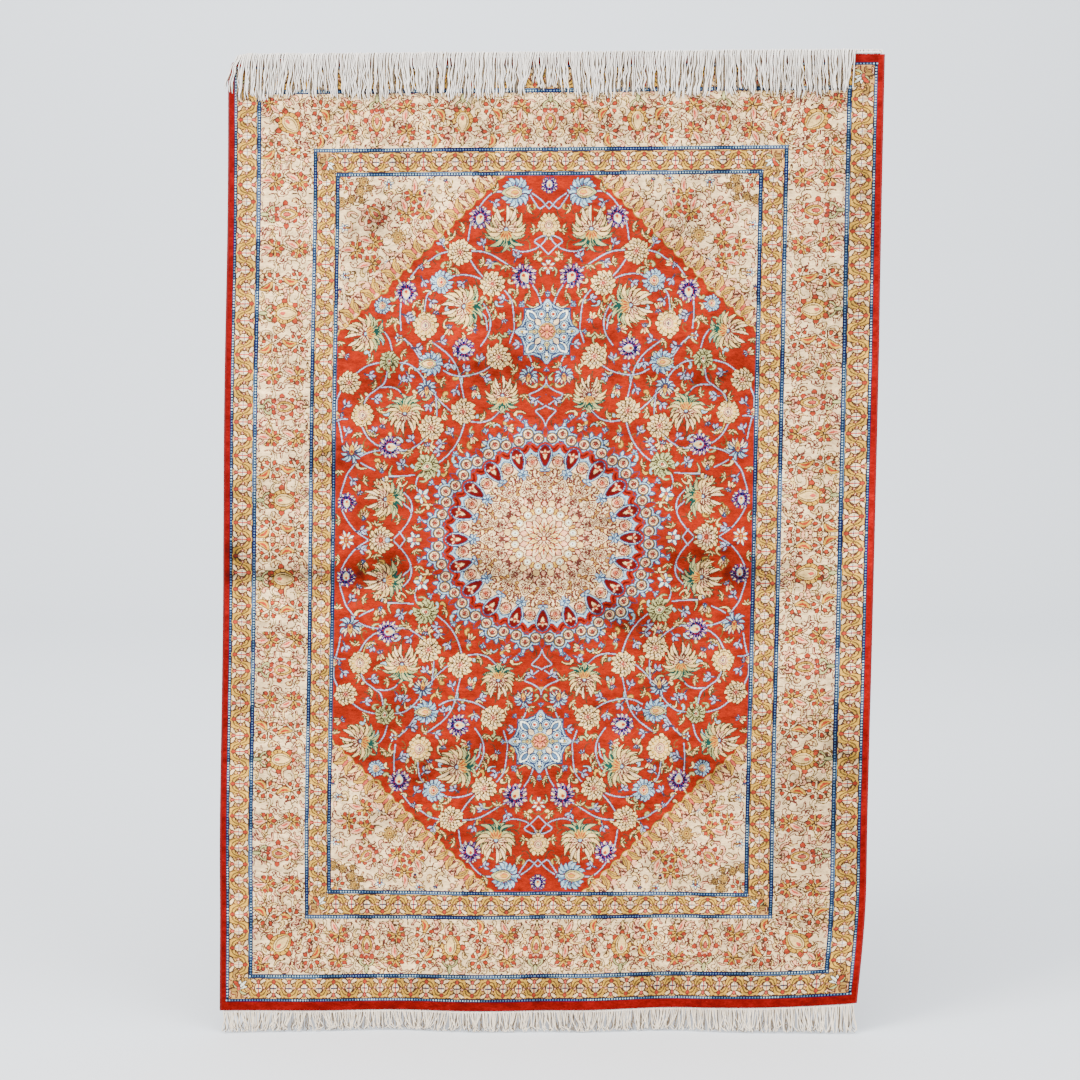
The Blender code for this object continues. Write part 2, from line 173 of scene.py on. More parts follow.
# A flower is rings of petals. Angles are from its tip's direction, and lengths are shares of its size.
Ring = namedtuple("Ring", "first last count start length width yarn edge bend")
flowerRings = {  # first and last angle, petals, start, length, width, yarn, edge, bend
    "radiant": [
        (108, 252, 8, 0.2, 0.78, 0.22, "greenIvory", "teal", 0.26),
        (114, 246, 7, 0.34, 0.44, 0.09, "teal", None, 0.22),
        (-108, 108, 11, 0.16, 0.68, 0.21, "greenIvory", "olive", 0.3),
        (-92, 92, 9, 0.14, 0.8, 0.2, "cream", "brown", 0.26),
        (-76, 76, 6, 0.1, 0.5, 0.14, "pinkIvory", "olive", 0.2),
        (-22, 22, 3, 0.28, 0.78, 0.18, "ivory", "brown", 0.1),
        (-136, 136, 11, 0.08, 0.34, 0.11, "ivory", "rust", 0.0),
        (146, 214, 4, 0.08, 0.4, 0.13, "coral", "straw", 0.0),
        (0, 0, 1, -0.09, 0.18, 0.2, "paleBlue", "stemEdge", 0.0),
    ],
    "navy": [
        (0, 336, 13, 0.5, 0.5, 0.28, "ivory", "stemEdge", 0.2),
        (12, 348, 13, 0.42, 0.48, 0.18, "lilac", "violet", 0.2),
        (0, 336, 13, 0.34, 0.34, 0.14, "navy", None, 0.22),
        (0, 0, 1, -0.38, 0.76, 0.72, "violet", None, 0.0),
        (0, 0, 1, -0.32, 0.88, 0.6, "cream", "paleBlue", 0.0),
        (0, 0, 1, -0.22, 0.3, 0.26, "coral", None, 0.0),
    ],
    "cream": [
        (0, 335, 15, 0.4, 0.6, 0.42, "cream", "brown", 0.2),
        (11, 348, 12, 0.3, 0.44, 0.26, "ivory", "olive", 0.2),
        (0, 327, 9, 0.16, 0.38, 0.24, "cream", "brown", 0.12),
        (0, 300, 6, 0.04, 0.26, 0.22, "pinkIvory", "rust", 0.0),
        (0, 0, 1, -0.12, 0.24, 0.26, "rose", "rust", 0.0),
    ],
    "straw": [
        (0, 338, 16, 0.44, 0.56, 0.38, "cream", "olive", 0.18),
        (9, 351, 14, 0.28, 0.46, 0.24, "ivory", "brown", 0.16),
        (0, 330, 10, 0.1, 0.34, 0.2, "pinkIvory", "rust", 0.0),
        (0, 0, 1, 0.3, 0.4, 0.3, "paleBlue", "blue", 0.0),
        (0, 0, 1, -0.1, 0.2, 0.24, "coral", None, 0.0),
    ],
    "blue": [
        (0, 338, 15, 0.46, 0.54, 0.36, "paleBlue", "stemEdge", 0.22),
        (0, 0, 1, -0.58, 1.16, 1.2, "paleBlue", "blue", 0.0),
        (0, 330, 12, 0.3, 0.26, 0.1, "lightBlue", None, 0.1),
        (0, 0, 1, -0.42, 0.84, 0.88, "cream", "rust", 0.0),
        (0, 0, 1, -0.26, 0.52, 0.56, "pinkIvory", "rust", 0.0),
        (0, 0, 1, -0.12, 0.24, 0.26, "coral", None, 0.0),
    ],
    "sun": [
        (0, 336, 15, 0.54, 0.46, 0.42, "cream", "olive", 0.14),
        (0, 0, 1, -0.72, 1.44, 1.56, "cream", "oliveGold", 0.0),
        (0, 330, 12, 0.44, 0.26, 0.12, "straw", None, 0.0),
        (0, 0, 1, -0.4, 0.8, 0.86, "pinkIvory", "brown", 0.0),
        (0, 0, 1, -0.26, 0.52, 0.54, "ivory", "rust", 0.0),
        (0, 0, 1, -0.1, 0.2, 0.22, "lilac", "brown", 0.0),
    ],
    "drop": [
        (20, 340, 16, 0.36, 0.6, 0.3, "paleBlue", "stemEdge", 0.26),
        (30, 330, 11, 0.34, 0.42, 0.12, "lightBlue", None, 0.24),
        (0, 0, 1, -0.42, 1.36, 0.8, "greenIvory", "stemEdge", 0.0),
        (0, 0, 1, -0.3, 1.0, 0.56, "cream", "rust", 0.0),
        (0, 0, 1, -0.18, 0.5, 0.28, "straw", "rose", 0.0),
    ],
    "pale": [
        (60, 300, 9, 0.25, 0.76, 0.28, "paleBlue", "stemEdge", 0.24),
        (-50, 50, 5, 0.2, 0.8, 0.24, "ivory", "stemEdge", 0.1),
        (70, 290, 7, 0.15, 0.36, 0.13, "blue", None, 0.0),
        (0, 0, 1, -0.25, 0.95, 0.46, "straw", "rust", 0.0),
        (0, 0, 1, -0.12, 0.34, 0.24, "coral", None, 0.0),
    ],
    "olive": [
        (0, 335, 14, 0.34, 0.66, 0.38, "greenIvory", "olive", 0.24),
        (0, 338, 12, 0.32, 0.46, 0.11, "olive", None, 0.24),
        (0, 0, 1, -0.44, 0.94, 0.74, "greenIvory", "darkBrown", 0.0),
        (0, 0, 1, -0.28, 0.62, 0.46, "ivory", "teal", 0.0),
        (0, 0, 1, -0.16, 0.26, 0.24, "rose", "brown", 0.0),
    ],
    "bell": [
        (-52, 52, 6, -0.34, 1.3, 0.36, "cream", "oliveGold", 0.1),
        (-20, 20, 3, -0.1, 0.8, 0.24, "pinkIvory", "brown", 0.0),
        (150, 210, 3, -0.2, 0.66, 0.22, "paleBlue", "blue", 0.0),
    ],
    "blossom": [
        (36, 324, 5, 0.1, 0.85, 0.46, "white", "stemEdge", 0.0),
        (0, 0, 1, 0.0, 1.05, 0.4, "straw", "rust", 0.0),
        (72, 288, 4, 0.2, 0.4, 0.16, "lightBlue", None, 0.0),
        (0, 0, 1, -0.22, 0.46, 0.44, "rose", "rust", 0.0),
    ],
    "star": [
        (22, 338, 8, 0.2, 0.8, 0.34, "white", "stemEdge", 0.0),
        (0, 315, 8, 0.2, 0.56, 0.2, "straw", "coral", 0.0),
        (0, 0, 1, -0.2, 0.4, 0.44, "straw", "rust", 0.0),
        (0, 0, 1, -0.09, 0.18, 0.2, "coral", None, 0.0),
    ],
    "bud": [
        (-36, 36, 3, -0.2, 1.2, 0.46, "cream", "brown", 0.0),
        (140, 220, 3, 0.0, 0.7, 0.22, "stem", "stemEdge", 0.0),
        (0, 0, 1, -0.05, 0.5, 0.3, "rose", None, 0.0),
    ],
    "blueBud": [
        (-50, 50, 3, -0.1, 1.0, 0.46, "paleBlue", "blue", 0.0),
        (0, 0, 1, -0.45, 0.55, 0.3, "lightBlue", None, 0.0),
    ],
    "comma": [
        (0, 0, 1, -0.75, 1.95, 0.44, "cream", "olive", 0.2),
        (54, 54, 1, -0.4, 1.2, 0.34, "cream", "oliveGold", 0.18),
        (-40, -40, 1, -0.2, 0.8, 0.24, "greenIvory", "olive", -0.14),
    ],
    "fork": [
        (180, 180, 1, -0.1, 1.1, 0.24, "stem", "stemEdge", 0.05),
        (-48, 48, 3, -0.15, 1.05, 0.44, "stem", "stemEdge", 0.14),
        (0, 0, 1, 0.3, 0.45, 0.2, "lilac", None, 0.0),
    ],
    "lily": [
        (56, 304, 5, 0.06, 0.94, 0.4, "ivory", "brown", 0.16),
        (87, 273, 4, 0.44, 0.56, 0.42, "coral", "brown", 0.0),
        (40, 320, 2, 0.62, 0.48, 0.36, "coral", "brown", 0.0),
        (0, 0, 1, 0.02, 1.7, 0.66, "straw", "brown", 0.16),
        (0, 0, 1, 0.3, 1.1, 0.26, "coral", None, 0.22),
        (0, 0, 1, -0.14, 0.28, 0.3, "cream", "brown", 0.0),
    ],
    "goldLily": [
        (44, 316, 6, 0.06, 0.88, 0.36, "straw", "brown", 0.16),
        (71, 289, 5, 0.46, 0.52, 0.4, "coral", "rust", 0.0),
        (0, 0, 1, 0.02, 1.62, 0.6, "pinkIvory", "brown", 0.06),
        (0, 0, 1, 0.36, 0.84, 0.22, "rose", None, 0.06),
        (0, 0, 1, -0.12, 0.24, 0.28, "cream", "brown", 0.0),
    ],
    "heart": [
        (34, 326, 6, 0.62, 0.52, 0.46, "coral", "brown", 0.0),
        (0, 0, 1, -0.84, 1.9, 1.56, "straw", "brown", 0.0),
        (52, 308, 9, 0.42, 0.42, 0.09, "brown", None, 0.4),
        (0, 0, 1, -0.6, 1.62, 1.0, "cream", "brown", 0.0),
        (0, 0, 1, -0.46, 1.36, 0.68, "cream", "oliveGold", 0.0),
        (0, 0, 1, -0.34, 0.44, 0.28, "rose", None, 0.0),
        (0, 0, 1, 0.92, 0.36, 0.36, "coral", "brown", 0.0),
        (150, 210, 3, 0.66, 0.4, 0.34, "coral", "brown", 0.0),
        (180, 180, 1, 0.7, 0.24, 0.2, "ivory", None, 0.0),
    ],
    "palm": [
        (56, 304, 6, 0.3, 0.66, 0.38, "ivory", "rust", 0.2),
        (0, 0, 1, -0.54, 1.56, 0.96, "ivory", "rust", 0.0),
        (0, 0, 1, -0.36, 1.06, 0.54, "cream", "rust", 0.0),
        (0, 0, 1, -0.18, 0.44, 0.26, "pink", "rust", 0.0),
    ],
    "cup": [
        (34, 326, 6, 0.6, 0.5, 0.44, "coral", "rust", 0.0),
        (0, 0, 1, -0.8, 1.84, 1.46, "pinkIvory", "brown", 0.0),
        (52, 308, 9, 0.42, 0.4, 0.09, "rust", None, 0.4),
        (0, 0, 1, -0.54, 1.56, 0.9, "straw", "brown", 0.0),
        (0, 0, 1, -0.42, 1.2, 0.6, "cream", "oliveGold", 0.0),
        (0, 0, 1, -0.28, 0.7, 0.34, "rose", "rust", 0.0),
        (0, 0, 1, 0.9, 0.34, 0.34, "coral", "rust", 0.0),
        (150, 210, 3, 0.64, 0.38, 0.32, "coral", "rust", 0.0),
    ],
    "ring": [
        (0, 324, 10, 0.6, 0.4, 0.46, "paleGold", "brown", 0.0),
        (0, 0, 1, -0.68, 1.36, 1.46, "gold", "oliveGold", 0.0),
        (0, 0, 1, -0.34, 0.68, 0.74, "straw", "brown", 0.0),
        (0, 0, 1, -0.14, 0.28, 0.3, "rust", None, 0.0),
    ],
    "roundel": [
        (0, 0, 1, -0.95, 1.9, 2.1, "pinkIvory", "rust", 0.0),
        (0, 288, 5, 0.1, 0.6, 0.44, "pink", "rust", 0.0),
        (0, 0, 1, -0.2, 0.4, 0.44, "coral", None, 0.0),
    ],
}


def flower(cloth, kind, x, y, turn, size, flip=1, rim=1.25):
    part = cloth.near(x, y, turn, size * 1.7 + 3, flip)
    for ring in map(Ring._make, flowerRings[kind]):
        for i in range(ring.count):
            angle = ring.first + (ring.last - ring.first) * i / max(ring.count - 1, 1)
            side = -1 if (angle + 180) % 360 < 180 else 1
            many = min(ring.count - 1, 5) / 5  # rings of many petals are a little uneven
            length = ring.length * size * (1 + 0.11 * many * math.sin(2.4 * i + x + y))
            leaf(part, 0, 0, angle + 4 * many * math.sin(4.1 * i + x), length, ring.width * size, ring.yarn,
                 ring.edge, ring.bend * side, rim, 1.0 if ring.count > 2 else 0.8, ring.start * size)


def wholeView(ink):  # every knot, by its distances from the rug's two axes
    x = (np.arange(ink.shape[1])[None, :] + 0.5) * knot
    y = (np.arange(ink.shape[0])[:, None] + 0.5) * knot
    return Cloth(ink, x, y)


def frameView(ink, side, end, innerSide, innerEnd):  # the two arms of a band, seen along its run
    columns, rows = ink.shape[1] - side, ink.shape[0] - end
    wide, high = innerSide - side, innerEnd - end
    upright = ink[:rows, columns - wide:columns]
    level = ink[rows - high:rows, :columns]
    along = (np.arange(rows)[:, None] + 0.5) * knot
    across = ((wide - 1) / 2 - np.arange(wide)[None, :]) * knot
    alongTop = (np.arange(columns)[None, :] + 0.5) * knot
    acrossTop = ((high - 1) / 2 - np.arange(high)[:, None]) * knot
    return [Cloth(upright, along, across), Cloth(level, alongTop, acrossTop)]


def stripe(ink, side, end, wide, seed):  # pale beads on a blue line, the blue drifting as it runs
    for arm, view in enumerate(frameView(ink, side, end, side + wide, end + wide)):
        along = view.x + 0 * view.y
        across = view.y + 0 * view.x
        drift = np.sin(along / 23 + seed) + np.sin(along / 61 + 2.3 * seed + arm)
        drift += 0.6 * np.sin(along / 9 + seed)
        view.ink[:] = yarnNumber["stripeBlue"]
        view.dye(drift < -1.2, "blue")
        view.dye((drift > 1.2) & (abs(across) < 1.7), "navy")
        view.dye((abs(across) > 2.3) & (drift < 0.6), "blue")
        view.dye((across < -2.3) & (drift < 0.0), "lightBlue")
        beads = (abs(across) < knot) & ((along / knot).astype(int) % 4 < 2)
        view.dye(beads, "lightBlue")
        view.dye(beads & (drift < 0.1), "paleBlue")


def ribbon(view, pitch, reach, way):  # it winds from edge to edge of a guard; every turn is one unit
    number = np.round(view.x / pitch)
    u = view.x - number * pitch + 0 * view.y
    v = (view.y + 0 * view.x) * np.where(number % 2, -1, 1) * way
    sweep, flat = 0.72 * 1.118 * reach, 0.5  # a small flat makes the turns squarer than a plain wave's
    swing = np.cos(math.pi * u / pitch)
    middle = -sweep * swing / np.hypot(swing, flat)
    slope = sweep * flat ** 2 * math.pi / pitch * np.sin(math.pi * u / pitch) / np.hypot(swing, flat) ** 3
    off = (v - middle) / np.hypot(1, slope)
    unit = Cloth(view.ink, u, v)
    unit.dye((off > 0) & (off < 8.8), "rust")
    unit.dye((off > 0) & (off < 7.2), "straw")
    for half, yarn in ((5.7, "brown"), (3.7, "straw"), (1.0, "oliveGold")):
        unit.dye(abs(off) < half, yarn)
    return unit


def lotus(unit, reach):  # the flower in each turn of the ribbon, with a bud at either edge
    for way in (-1, 1):
        leaf(unit, 2 * way, 6, 90 - 60 * way, 14, 7.4, "ivory", "brown", bend=0.14 * way, rim=1.9)
        leaf(unit, 3 * way, -3, 90 - 64 * way, 10, 5.4, "pinkIvory", "rust", bend=0.14 * way, rim=1.5)
    leaf(unit, 0, -8, 90, 17, 14.0, "ivory", "brown", rim=1.9)
    unit.dye((unit.x ** 2 + (unit.y + 1.5) ** 2 < 10) & (unit.x * unit.y > -2), "white")
    stroke(unit, [(0, -6), (0, 7)], 1.7, "rose")
    stroke(unit, [(-4, 0), (4, 0)], 1.7, "stemEdge", taper=1)
    leaf(unit, 0, -reach + 1, 90, 8, 6.8, "coral", "rust", rim=1.6)
    leaf(unit, 0, reach - 8.5, 90, 7.5, 5.6, "rose", "rust", rim=1.5)


def guard(ink, side, end, innerSide, innerEnd, runs, reach):  # runs: each arm's length and whole turns
    arms = frameView(ink, side, end, innerSide, innerEnd)
    for view, (length, turns), way in zip(arms, runs, (-1, 1)):
        view.ink[:] = yarnNumber["paleGold"]
        lotus(ribbon(view, length / (turns + 0.5), reach, way), reach)
    corner = arms[0]
    x = (ink.shape[0] - (end + innerEnd) / 2) * knot
    corner.dye(corner.x + 0 * corner.y > x - reach, "paleGold")
    scrolls(corner, x, 0, 32, 32, 8.5, 12, 0.2, ("straw", "gold", "pinkIvory"), ("brown", "rust"), 1.8)
    for way in (-1, 1):
        leaf(corner, x - 2, 2, 225 + 52 * way, 17, 6, "gold", "brown", bend=0.2 * way)
        leaf(corner, x + 2, -2, 135 + 30 * way, 17, 5.4, "white", "brown", bend=-0.1 * way)
        leaf(corner, x + 1, 0, 135 + 75 * way, 16, 5.0, "greenIvory", "brown", bend=0.12 * way)
    leaf(corner, x, 0, 135, 17, 5.6, "white", "brown")
    leaf(corner, x - 2, 2, 225, 14, 6.5, "coral", "brown")
    spot(corner, x, 0, 3.0, "rose", "rust")


# The main border's flowers: A and B are pairs of lilies, P and Q are palmettes, at mm from the axis
borderFlowers = {"A": "lily", "B": "goldLily", "P": "heart", "Q": "cup"}
lilyPlaces = {"A": ((-20, 118), (21, 76)), "B": ((-20, -86), (20, -64))}
palmetteSizes = {"P": 21.5, "Q": 20}
endStations = [
    ("Q", 0), ("B", 46), ("A", 92), ("P", 139), ("A", 182), ("B", 228), ("Q", 275), ("B", 321), ("A", 367),
]
sideStations = [
    ("A", 18), ("P", 62), ("A", 111), ("B", 160), ("Q", 209), ("B", 258), ("A", 308),
    ("P", 355), ("A", 405), ("B", 456), ("Q", 509), ("B", 560), ("A", 611),
]


def palmette(view, kind, x):
    spot(view, x, 0, 21, "ivory")
    for way in (-1, 1):
        curledLeaf(view, x + 3 * way, -32, 90 - 64 * way, 8, 4.6, "greenIvory", "brown", way, rim=1.5)
        curledLeaf(view, x + 3 * way, 35, -90 + 50 * way, 7, 4.6, "pinkIvory", "rust", -way, rim=1.5)
    leaf(view, x, -45, 90, 17, 7, "greenIvory", "olive", rim=1.4)
    leaf(view, x, 29, 90, 14, 5, "cream", "olive", rim=1.4)
    flower(view, borderFlowers[kind], x, -1, 90, palmetteSizes[kind], rim=1.4)


def lilyPair(view, kind, x, way):  # two lilies on a double stalk
    for lift in (-1.9, 1.9):
        stalk = [(x + lift, -22), (x + 3 + lift, -6), (x - 3 + lift, 8), (x + lift, 22)]
        stroke(view, stalk, 1.7, "brown")
    for y, turn in lilyPlaces[kind]:
        spot(view, x, y, 11, "ivory")
        flower(view, borderFlowers[kind], x, y, turn * way, 16, way, 1.35)


def mainBorder(ink, wide, high):
    arms = frameView(ink, 0, 0, wide, high)
    for view in arms:
        view.ink[:] = yarnNumber["ivory"]
    for arm, (view, stations) in enumerate(zip(arms, (sideStations, endStations))):
        for number, (kind, x) in enumerate(stations):
            scrolls(view, x, 0, 50, 88, 9.6, list(borderFlowers).index(kind) + 10 * (number // 3 % 2))
            if kind in palmetteSizes:
                palmette(view, kind, x)
            else:
                lilyPair(view, kind, x, 1 if (number + arm) % 2 else -1)
    corner = wholeView(ink)
    x, y = (ink.shape[1] - wide / 2) * knot, (ink.shape[0] - high / 2) * knot
    scrolls(corner, x, y, 88, 88, 9.6, 31)
    for way in (-1, 1):
        curledLeaf(corner, x + 26 + 8 * way, y + 26 - 8 * way, 45 - 80 * way, 9, 5, "cream", "rust", way)
        hook(corner, x + 16 * way, y - 16 * way, 45 - 90 * way, 9, "rust", way, 1.5)
    spot(corner, x, y, 21, "ivory")
    flower(corner, "goldLily", x + 27, y + 28, 225, 13)
    flower(corner, "heart", x - 2, y - 2, 225, 22, rim=1.4)


# The field. A stalk is the points of a curve, and a flower or leaf is its place, turn and, where it
# varies, its size.
fieldStems = [
    [(72, 542), (88, 541), (102, 530), (113, 515)], [(123, 496), (126, 482), (128, 467)],
    [(156, 451), (174, 446), (188, 437), (204, 428), (218, 411)],
    [(121, 451), (102, 449), (85, 442), (67, 431), (54, 423)], [(125, 439), (116, 425), (104, 411)],
    [(104, 406), (120, 412), (137, 414), (152, 412)], [(187, 389), (193, 378), (196, 356)],
    [(233, 370), (234, 351), (232, 328)], [(227, 315), (214, 303), (201, 284)],
    [(102, 369), (94, 356), (90, 340), (93, 322), (105, 303)], [(106, 356), (98, 347), (95, 328)],
    [(186, 312), (170, 301), (155, 289), (145, 275), (139, 261), (130, 220)],
    [(163, 265), (151, 259), (135, 256), (116, 259), (101, 264), (88, 272)],
    [(259, 326), (251, 315), (246, 298)], [(267, 278), (285, 273), (299, 264), (310, 253)],
    [(232, 278), (218, 275), (204, 264), (191, 248)],
    [(253, 264), (257, 247), (270, 236), (284, 225), (290, 211)],
    [(262, 239), (249, 240), (236, 236), (225, 223)],
    [(327, 233), (333, 217), (332, 196), (326, 171), (323, 154)], [(332, 187), (324, 190), (315, 190)],
    [(292, 178), (283, 162), (268, 149), (257, 148)], [(294, 132), (279, 138), (263, 141)],
    [(233, 141), (219, 141), (204, 148), (190, 159)], [(176, 231), (174, 212), (173, 193)],
    [(177, 228), (166, 215), (150, 201)], [(129, 182), (135, 163), (144, 146), (158, 130), (172, 119)],
    [(118, 185), (102, 184), (86, 189), (73, 201)], [(293, 121), (284, 116), (271, 110)],
    [(248, 100), (229, 100), (208, 102)], [(258, 97), (255, 89), (251, 80)],
    [(303, 119), (314, 105), (320, 89), (325, 70), (323, 48), (313, 29), (299, 13), (281, 1)],
    [(224, 74), (214, 62), (211, 48), (215, 32), (225, 17), (239, 2)], [(224, 56), (215, 48), (212, 42)],
    [(202, 100), (205, 89), (203, 77)], [(59, 308), (55, 320), (52, 328)],
    [(32, 292), (25, 281), (22, 265)], [(-1, 254), (2, 242), (13, 233), (27, 226), (15, 218), (5, 211)],
    [(-9, 215), (5, 206), (16, 201), (5, 189), (0, 178)], [(24, 397), (15, 383), (10, 367)],
    [(68, 389), (58, 375), (54, 356), (52, 328)], [(56, 453), (41, 449), (22, 453), (9, 462), (2, 474)],
    [(-2, 443), (11, 456), (22, 465), (10, 473), (-1, 474)], [(30, 536), (22, 524), (14, 516), (0, 527)],
    [(27, 539), (14, 530), (0, 515)], [(231, 13), (223, 2), (216, -7)],
]
forks = [
    (170, 463, 60), (105, 462, 70), (91, 432, -10), (51, 442, 110), (86, 525, -160), (136, 400, -35),
    (197, 404, -120), (184, 372, -130), (223, 351, -160), (70, 375, 20), (221, 348, -150),
    (280, 259, -170), (218, 256, -120), (206, 301, -180), (167, 312, 170), (155, 275, -80),
    (230, 251, 120), (271, 222, -175), (318, 212, 130), (316, 170, 110), (273, 170, 70),
    (185, 209, -50), (129, 267, 130), (106, 283, 105), (96, 254, -160), (143, 234, -70),
    (213, 157, 50), (151, 168, 60), (166, 151, 0), (169, 138, -10), (306, 94, -130), (228, 119, 70),
    (291, 15, 170), (59, 190, 20), (17, 218, -35), (45, 305, 0),
]
commas = [
    (156, 474, 120), (139, 485, 70), (88, 547, 110), (160, 429, 100), (108, 432, 100), (65, 423, -20),
    (53, 384, 100), (91, 361, 100), (30, 378, -70), (12, 387, 100), (30, 518, -120), (27, 482, 80),
    (22, 443, 110), (147, 417, 30), (206, 369, -50), (49, 347, 120), (243, 342, -10), (203, 367, 110),
    (328, 306, -10), (283, 283, 120), (225, 292, -70), (184, 306, -70), (222, 237, 100),
    (276, 242, 100), (250, 226, 90), (263, 206, -160), (297, 163, -20), (163, 222, -180),
    (162, 248, -80), (87, 319, 150), (87, 350, 100), (158, 200, -110), (214, 137, -40),
    (134, 146, -120), (103, 192, 110), (86, 179, -20), (327, 104, -20), (284, 96, -110),
    (227, 94, -40), (217, 133, -40), (268, 28, -180), (236, 31, 90), (201, 47, 160), (204, 21, -170),
    (210, 81, -20), (159, 115, 100), (331, 29, 80), (17, 275, -160), (53, 265, 120), (34, 222, -20),
    (72, 162, 170), (296, 218, 80), (180, 395, 120), (121, 386, 100), (138, 311, 100), (254, 340, 120),
    (307, 305, 120), (193, 143, -80), (175, 51, 90), (276, 168, -180), (56, 511, 30), (98, 474, 70),
    (32, 434, -110), (6, 498, -180),
]
buds = [
    (198, 428, 150), (177, 359, 90), (156, 330, -90), (118, 328, 0), (70, 345, 60), (321, 289, 20),
    (114, 234, -110), (117, 160, -120), (259, 182, 100), (328, 196, 0), (296, 77, 60), (264, 86, 70),
    (60, 174, -180), (187, 146, -100),
]
blueBuds = [
    (39, 367, 45), (41, 189, 80), (95, 168, 80), (142, 133, 45), (197, 31, 10), (179, 88, 30),
    (33, 182, 80), (-2, 379, 90),
]
fieldSprigs = [("fork", 11, forks), ("comma", 11, commas), ("bud", 12, buds), ("blueBud", 8, blueBuds)]
fieldFlowers = [
    ("drop", 53, 541, 0, 25), ("navy", 109, 502, -70, 19), ("radiant", 68, 484, 90, 36),
    ("cream", 140, 449, -180, 21), ("blue", 169, 403, -180, 19), ("cream", 88, 400, 140, 21),
    ("navy", 38, 411, -120, 21), ("navy", 225, 387, -90, 19), ("blue", 262, 367, -180, 14),
    ("radiant", 133, 365, 5, 36), ("radiant", 289, 323, -10, 33), ("sun", 193, 336, -180, 21),
    ("navy", 132, 298, -180, 19), ("cream", 76, 286, 160, 21), ("olive", 250, 280, -90, 17),
    ("drop", 184, 276, 0, 21), ("pale", 28, 256, -80, 16), ("cream", 313, 247, -180, 19),
    ("pale", 190, 237, -90, 16), ("radiant", 69, 226, 90, 30), ("sun", 291, 196, -180, 19),
    ("radiant", 224, 198, -90, 32), ("cream", 131, 201, -180, 21), ("cream", 182, 176, 165, 21),
    ("navy", 247, 146, -180, 19), ("pale", 308, 138, 90, 19), ("olive", 188, 115, -20, 21),
    ("bell", 260, 111, 90, 14), ("radiant", 254, 64, 0, 33), ("navy", 315, 59, -90, 16),
    ("blossom", 195, 69, -120, 14), ("bell", 288, 36, 80, 13), ("straw", 260, 1, -180, 21),
    ("star", 315, 1, -180, 14), ("blossom", 207, 1, -180, 13), ("navy", 0, 552, 90, 14),
    ("sun", -1, 491, 90, 19), ("star", -2, 426, -90, 13), ("blossom", 236, 317, -180, 8),
    ("blossom", -7, 229, 90, 9),
]
cornerFlowers = [
    ("lily", 325, 559, 45, 14), ("ring", 295, 559, -180, 9), ("ring", 300, 544, -180, 9),
    ("ring", 286, 549, -180, 6), ("ring", 314, 532, -180, 8), ("ring", 330, 527, -180, 9),
    ("ring", 298, 530, -180, 6), ("blossom", 255, 555, -90, 9), ("goldLily", 215, 538, 90, 16),
    ("goldLily", 227, 510, 70, 16), ("goldLily", 198, 513, 110, 16), ("cup", 275, 508, 45, 17),
    ("blossom", 326, 488, -180, 9), ("ring", 239, 473, -180, 12), ("goldLily", 279, 465, 15, 16),
    ("goldLily", 307, 453, 0, 16), ("goldLily", 281, 432, -15, 16), ("bud", 164, 558, -120, 9),
    ("bud", 331, 390, -90, 9), ("bud", 198, 542, 90, 6), ("blossom", 256, 434, -180, 6),
    ("blossom", 192, 561, -180, 8), ("blossom", 323, 414, -180, 8),
]


cornerEdge = {"start": (75, 567), "run": (0.729, -0.685), "repeat": 45, "lobe": 4.2}


def cornerPiece(view):  # the ivory corner of the field, with a gold leaf band along its edge
    runX, runY = cornerEdge["run"]
    repeat = cornerEdge["repeat"]
    x = view.x - cornerEdge["start"][0] + 0 * view.y
    y = view.y - cornerEdge["start"][1] + 0 * view.x
    along = x * runX + y * runY
    across = y * runX - x * runY
    lobe = cornerEdge["lobe"] * abs(np.cos(2 * math.pi * along / repeat))
    piece = Cloth(view.ink.copy(), view.x, view.y)
    piece.ink[:] = yarnNumber["ivory"]
    scrolls(piece, 205, 440, 264, 264, 10.8, 5, plain=0.5)
    for kind, px, py, turn, size in cornerFlowers:
        spot(piece, px, py, size * 0.95, "ivory")
        flower(piece, kind, px, py, turn, size)
    band = Cloth(piece.ink, (along + repeat / 2) % repeat - repeat / 2, across)
    band.dye(across < 24 + 3 * np.cos(4 * math.pi * along / repeat), "pinkIvory")
    scrolls(band, 0, 12, 48, 26, 8.6, 8, 0.6, ("cream", "pinkIvory", "pink"), ("rust", "brown"))
    for way in (-1, 1):
        leaf(band, 5.5 * way, -1, 90 - 20 * way, 27, 11.5, "straw", "brown", bend=0.10 * way)
        leaf(band, 6.5 * way, 1, 90 - 22 * way, 21, 3.6, "paleGold", "oliveGold", bend=0.12 * way)
        leaf(band, 17 * way, 0, 90 + 12 * way, 20, 7.0, "cream", "rust", bend=-0.14 * way)
        leaf(band, repeat / 2 * way, -4, 90, 9, 5.5, "straw", "oliveGold")
    leaf(band, 0, 3, 90, 15, 5.6, "rose", "rust")
    band.dye(across < -lobe + 2.6, "straw")
    band.dye(across < -lobe + 1.2, "oliveGold")
    inside = across > -lobe
    view.ink[inside] = piece.ink[inside]


def field(ink):
    view = wholeView(ink)
    ink[:] = yarnNumber["red"]
    fills, edges = ("cream", "cream", "greenIvory", "straw", "paleBlue"), ("olive", "oliveGold", "brown")
    scrolls(view, 152, 258, 304, 517, 21, 4, 0.4, fills, edges)
    for points in fieldStems:
        stroke(view, curve(points), 1.7, "stem", "stemEdge", taper=0.8)
    for kind, size, places in fieldSprigs:
        for x, y, turn in places:
            flower(view, kind, x, y, turn, size)
    for kind, x, y, turn, size in fieldFlowers:
        flower(view, kind, x, y, turn, size)
    cornerPiece(view)
    medallion(view)
    pendant(view, 0, 325)


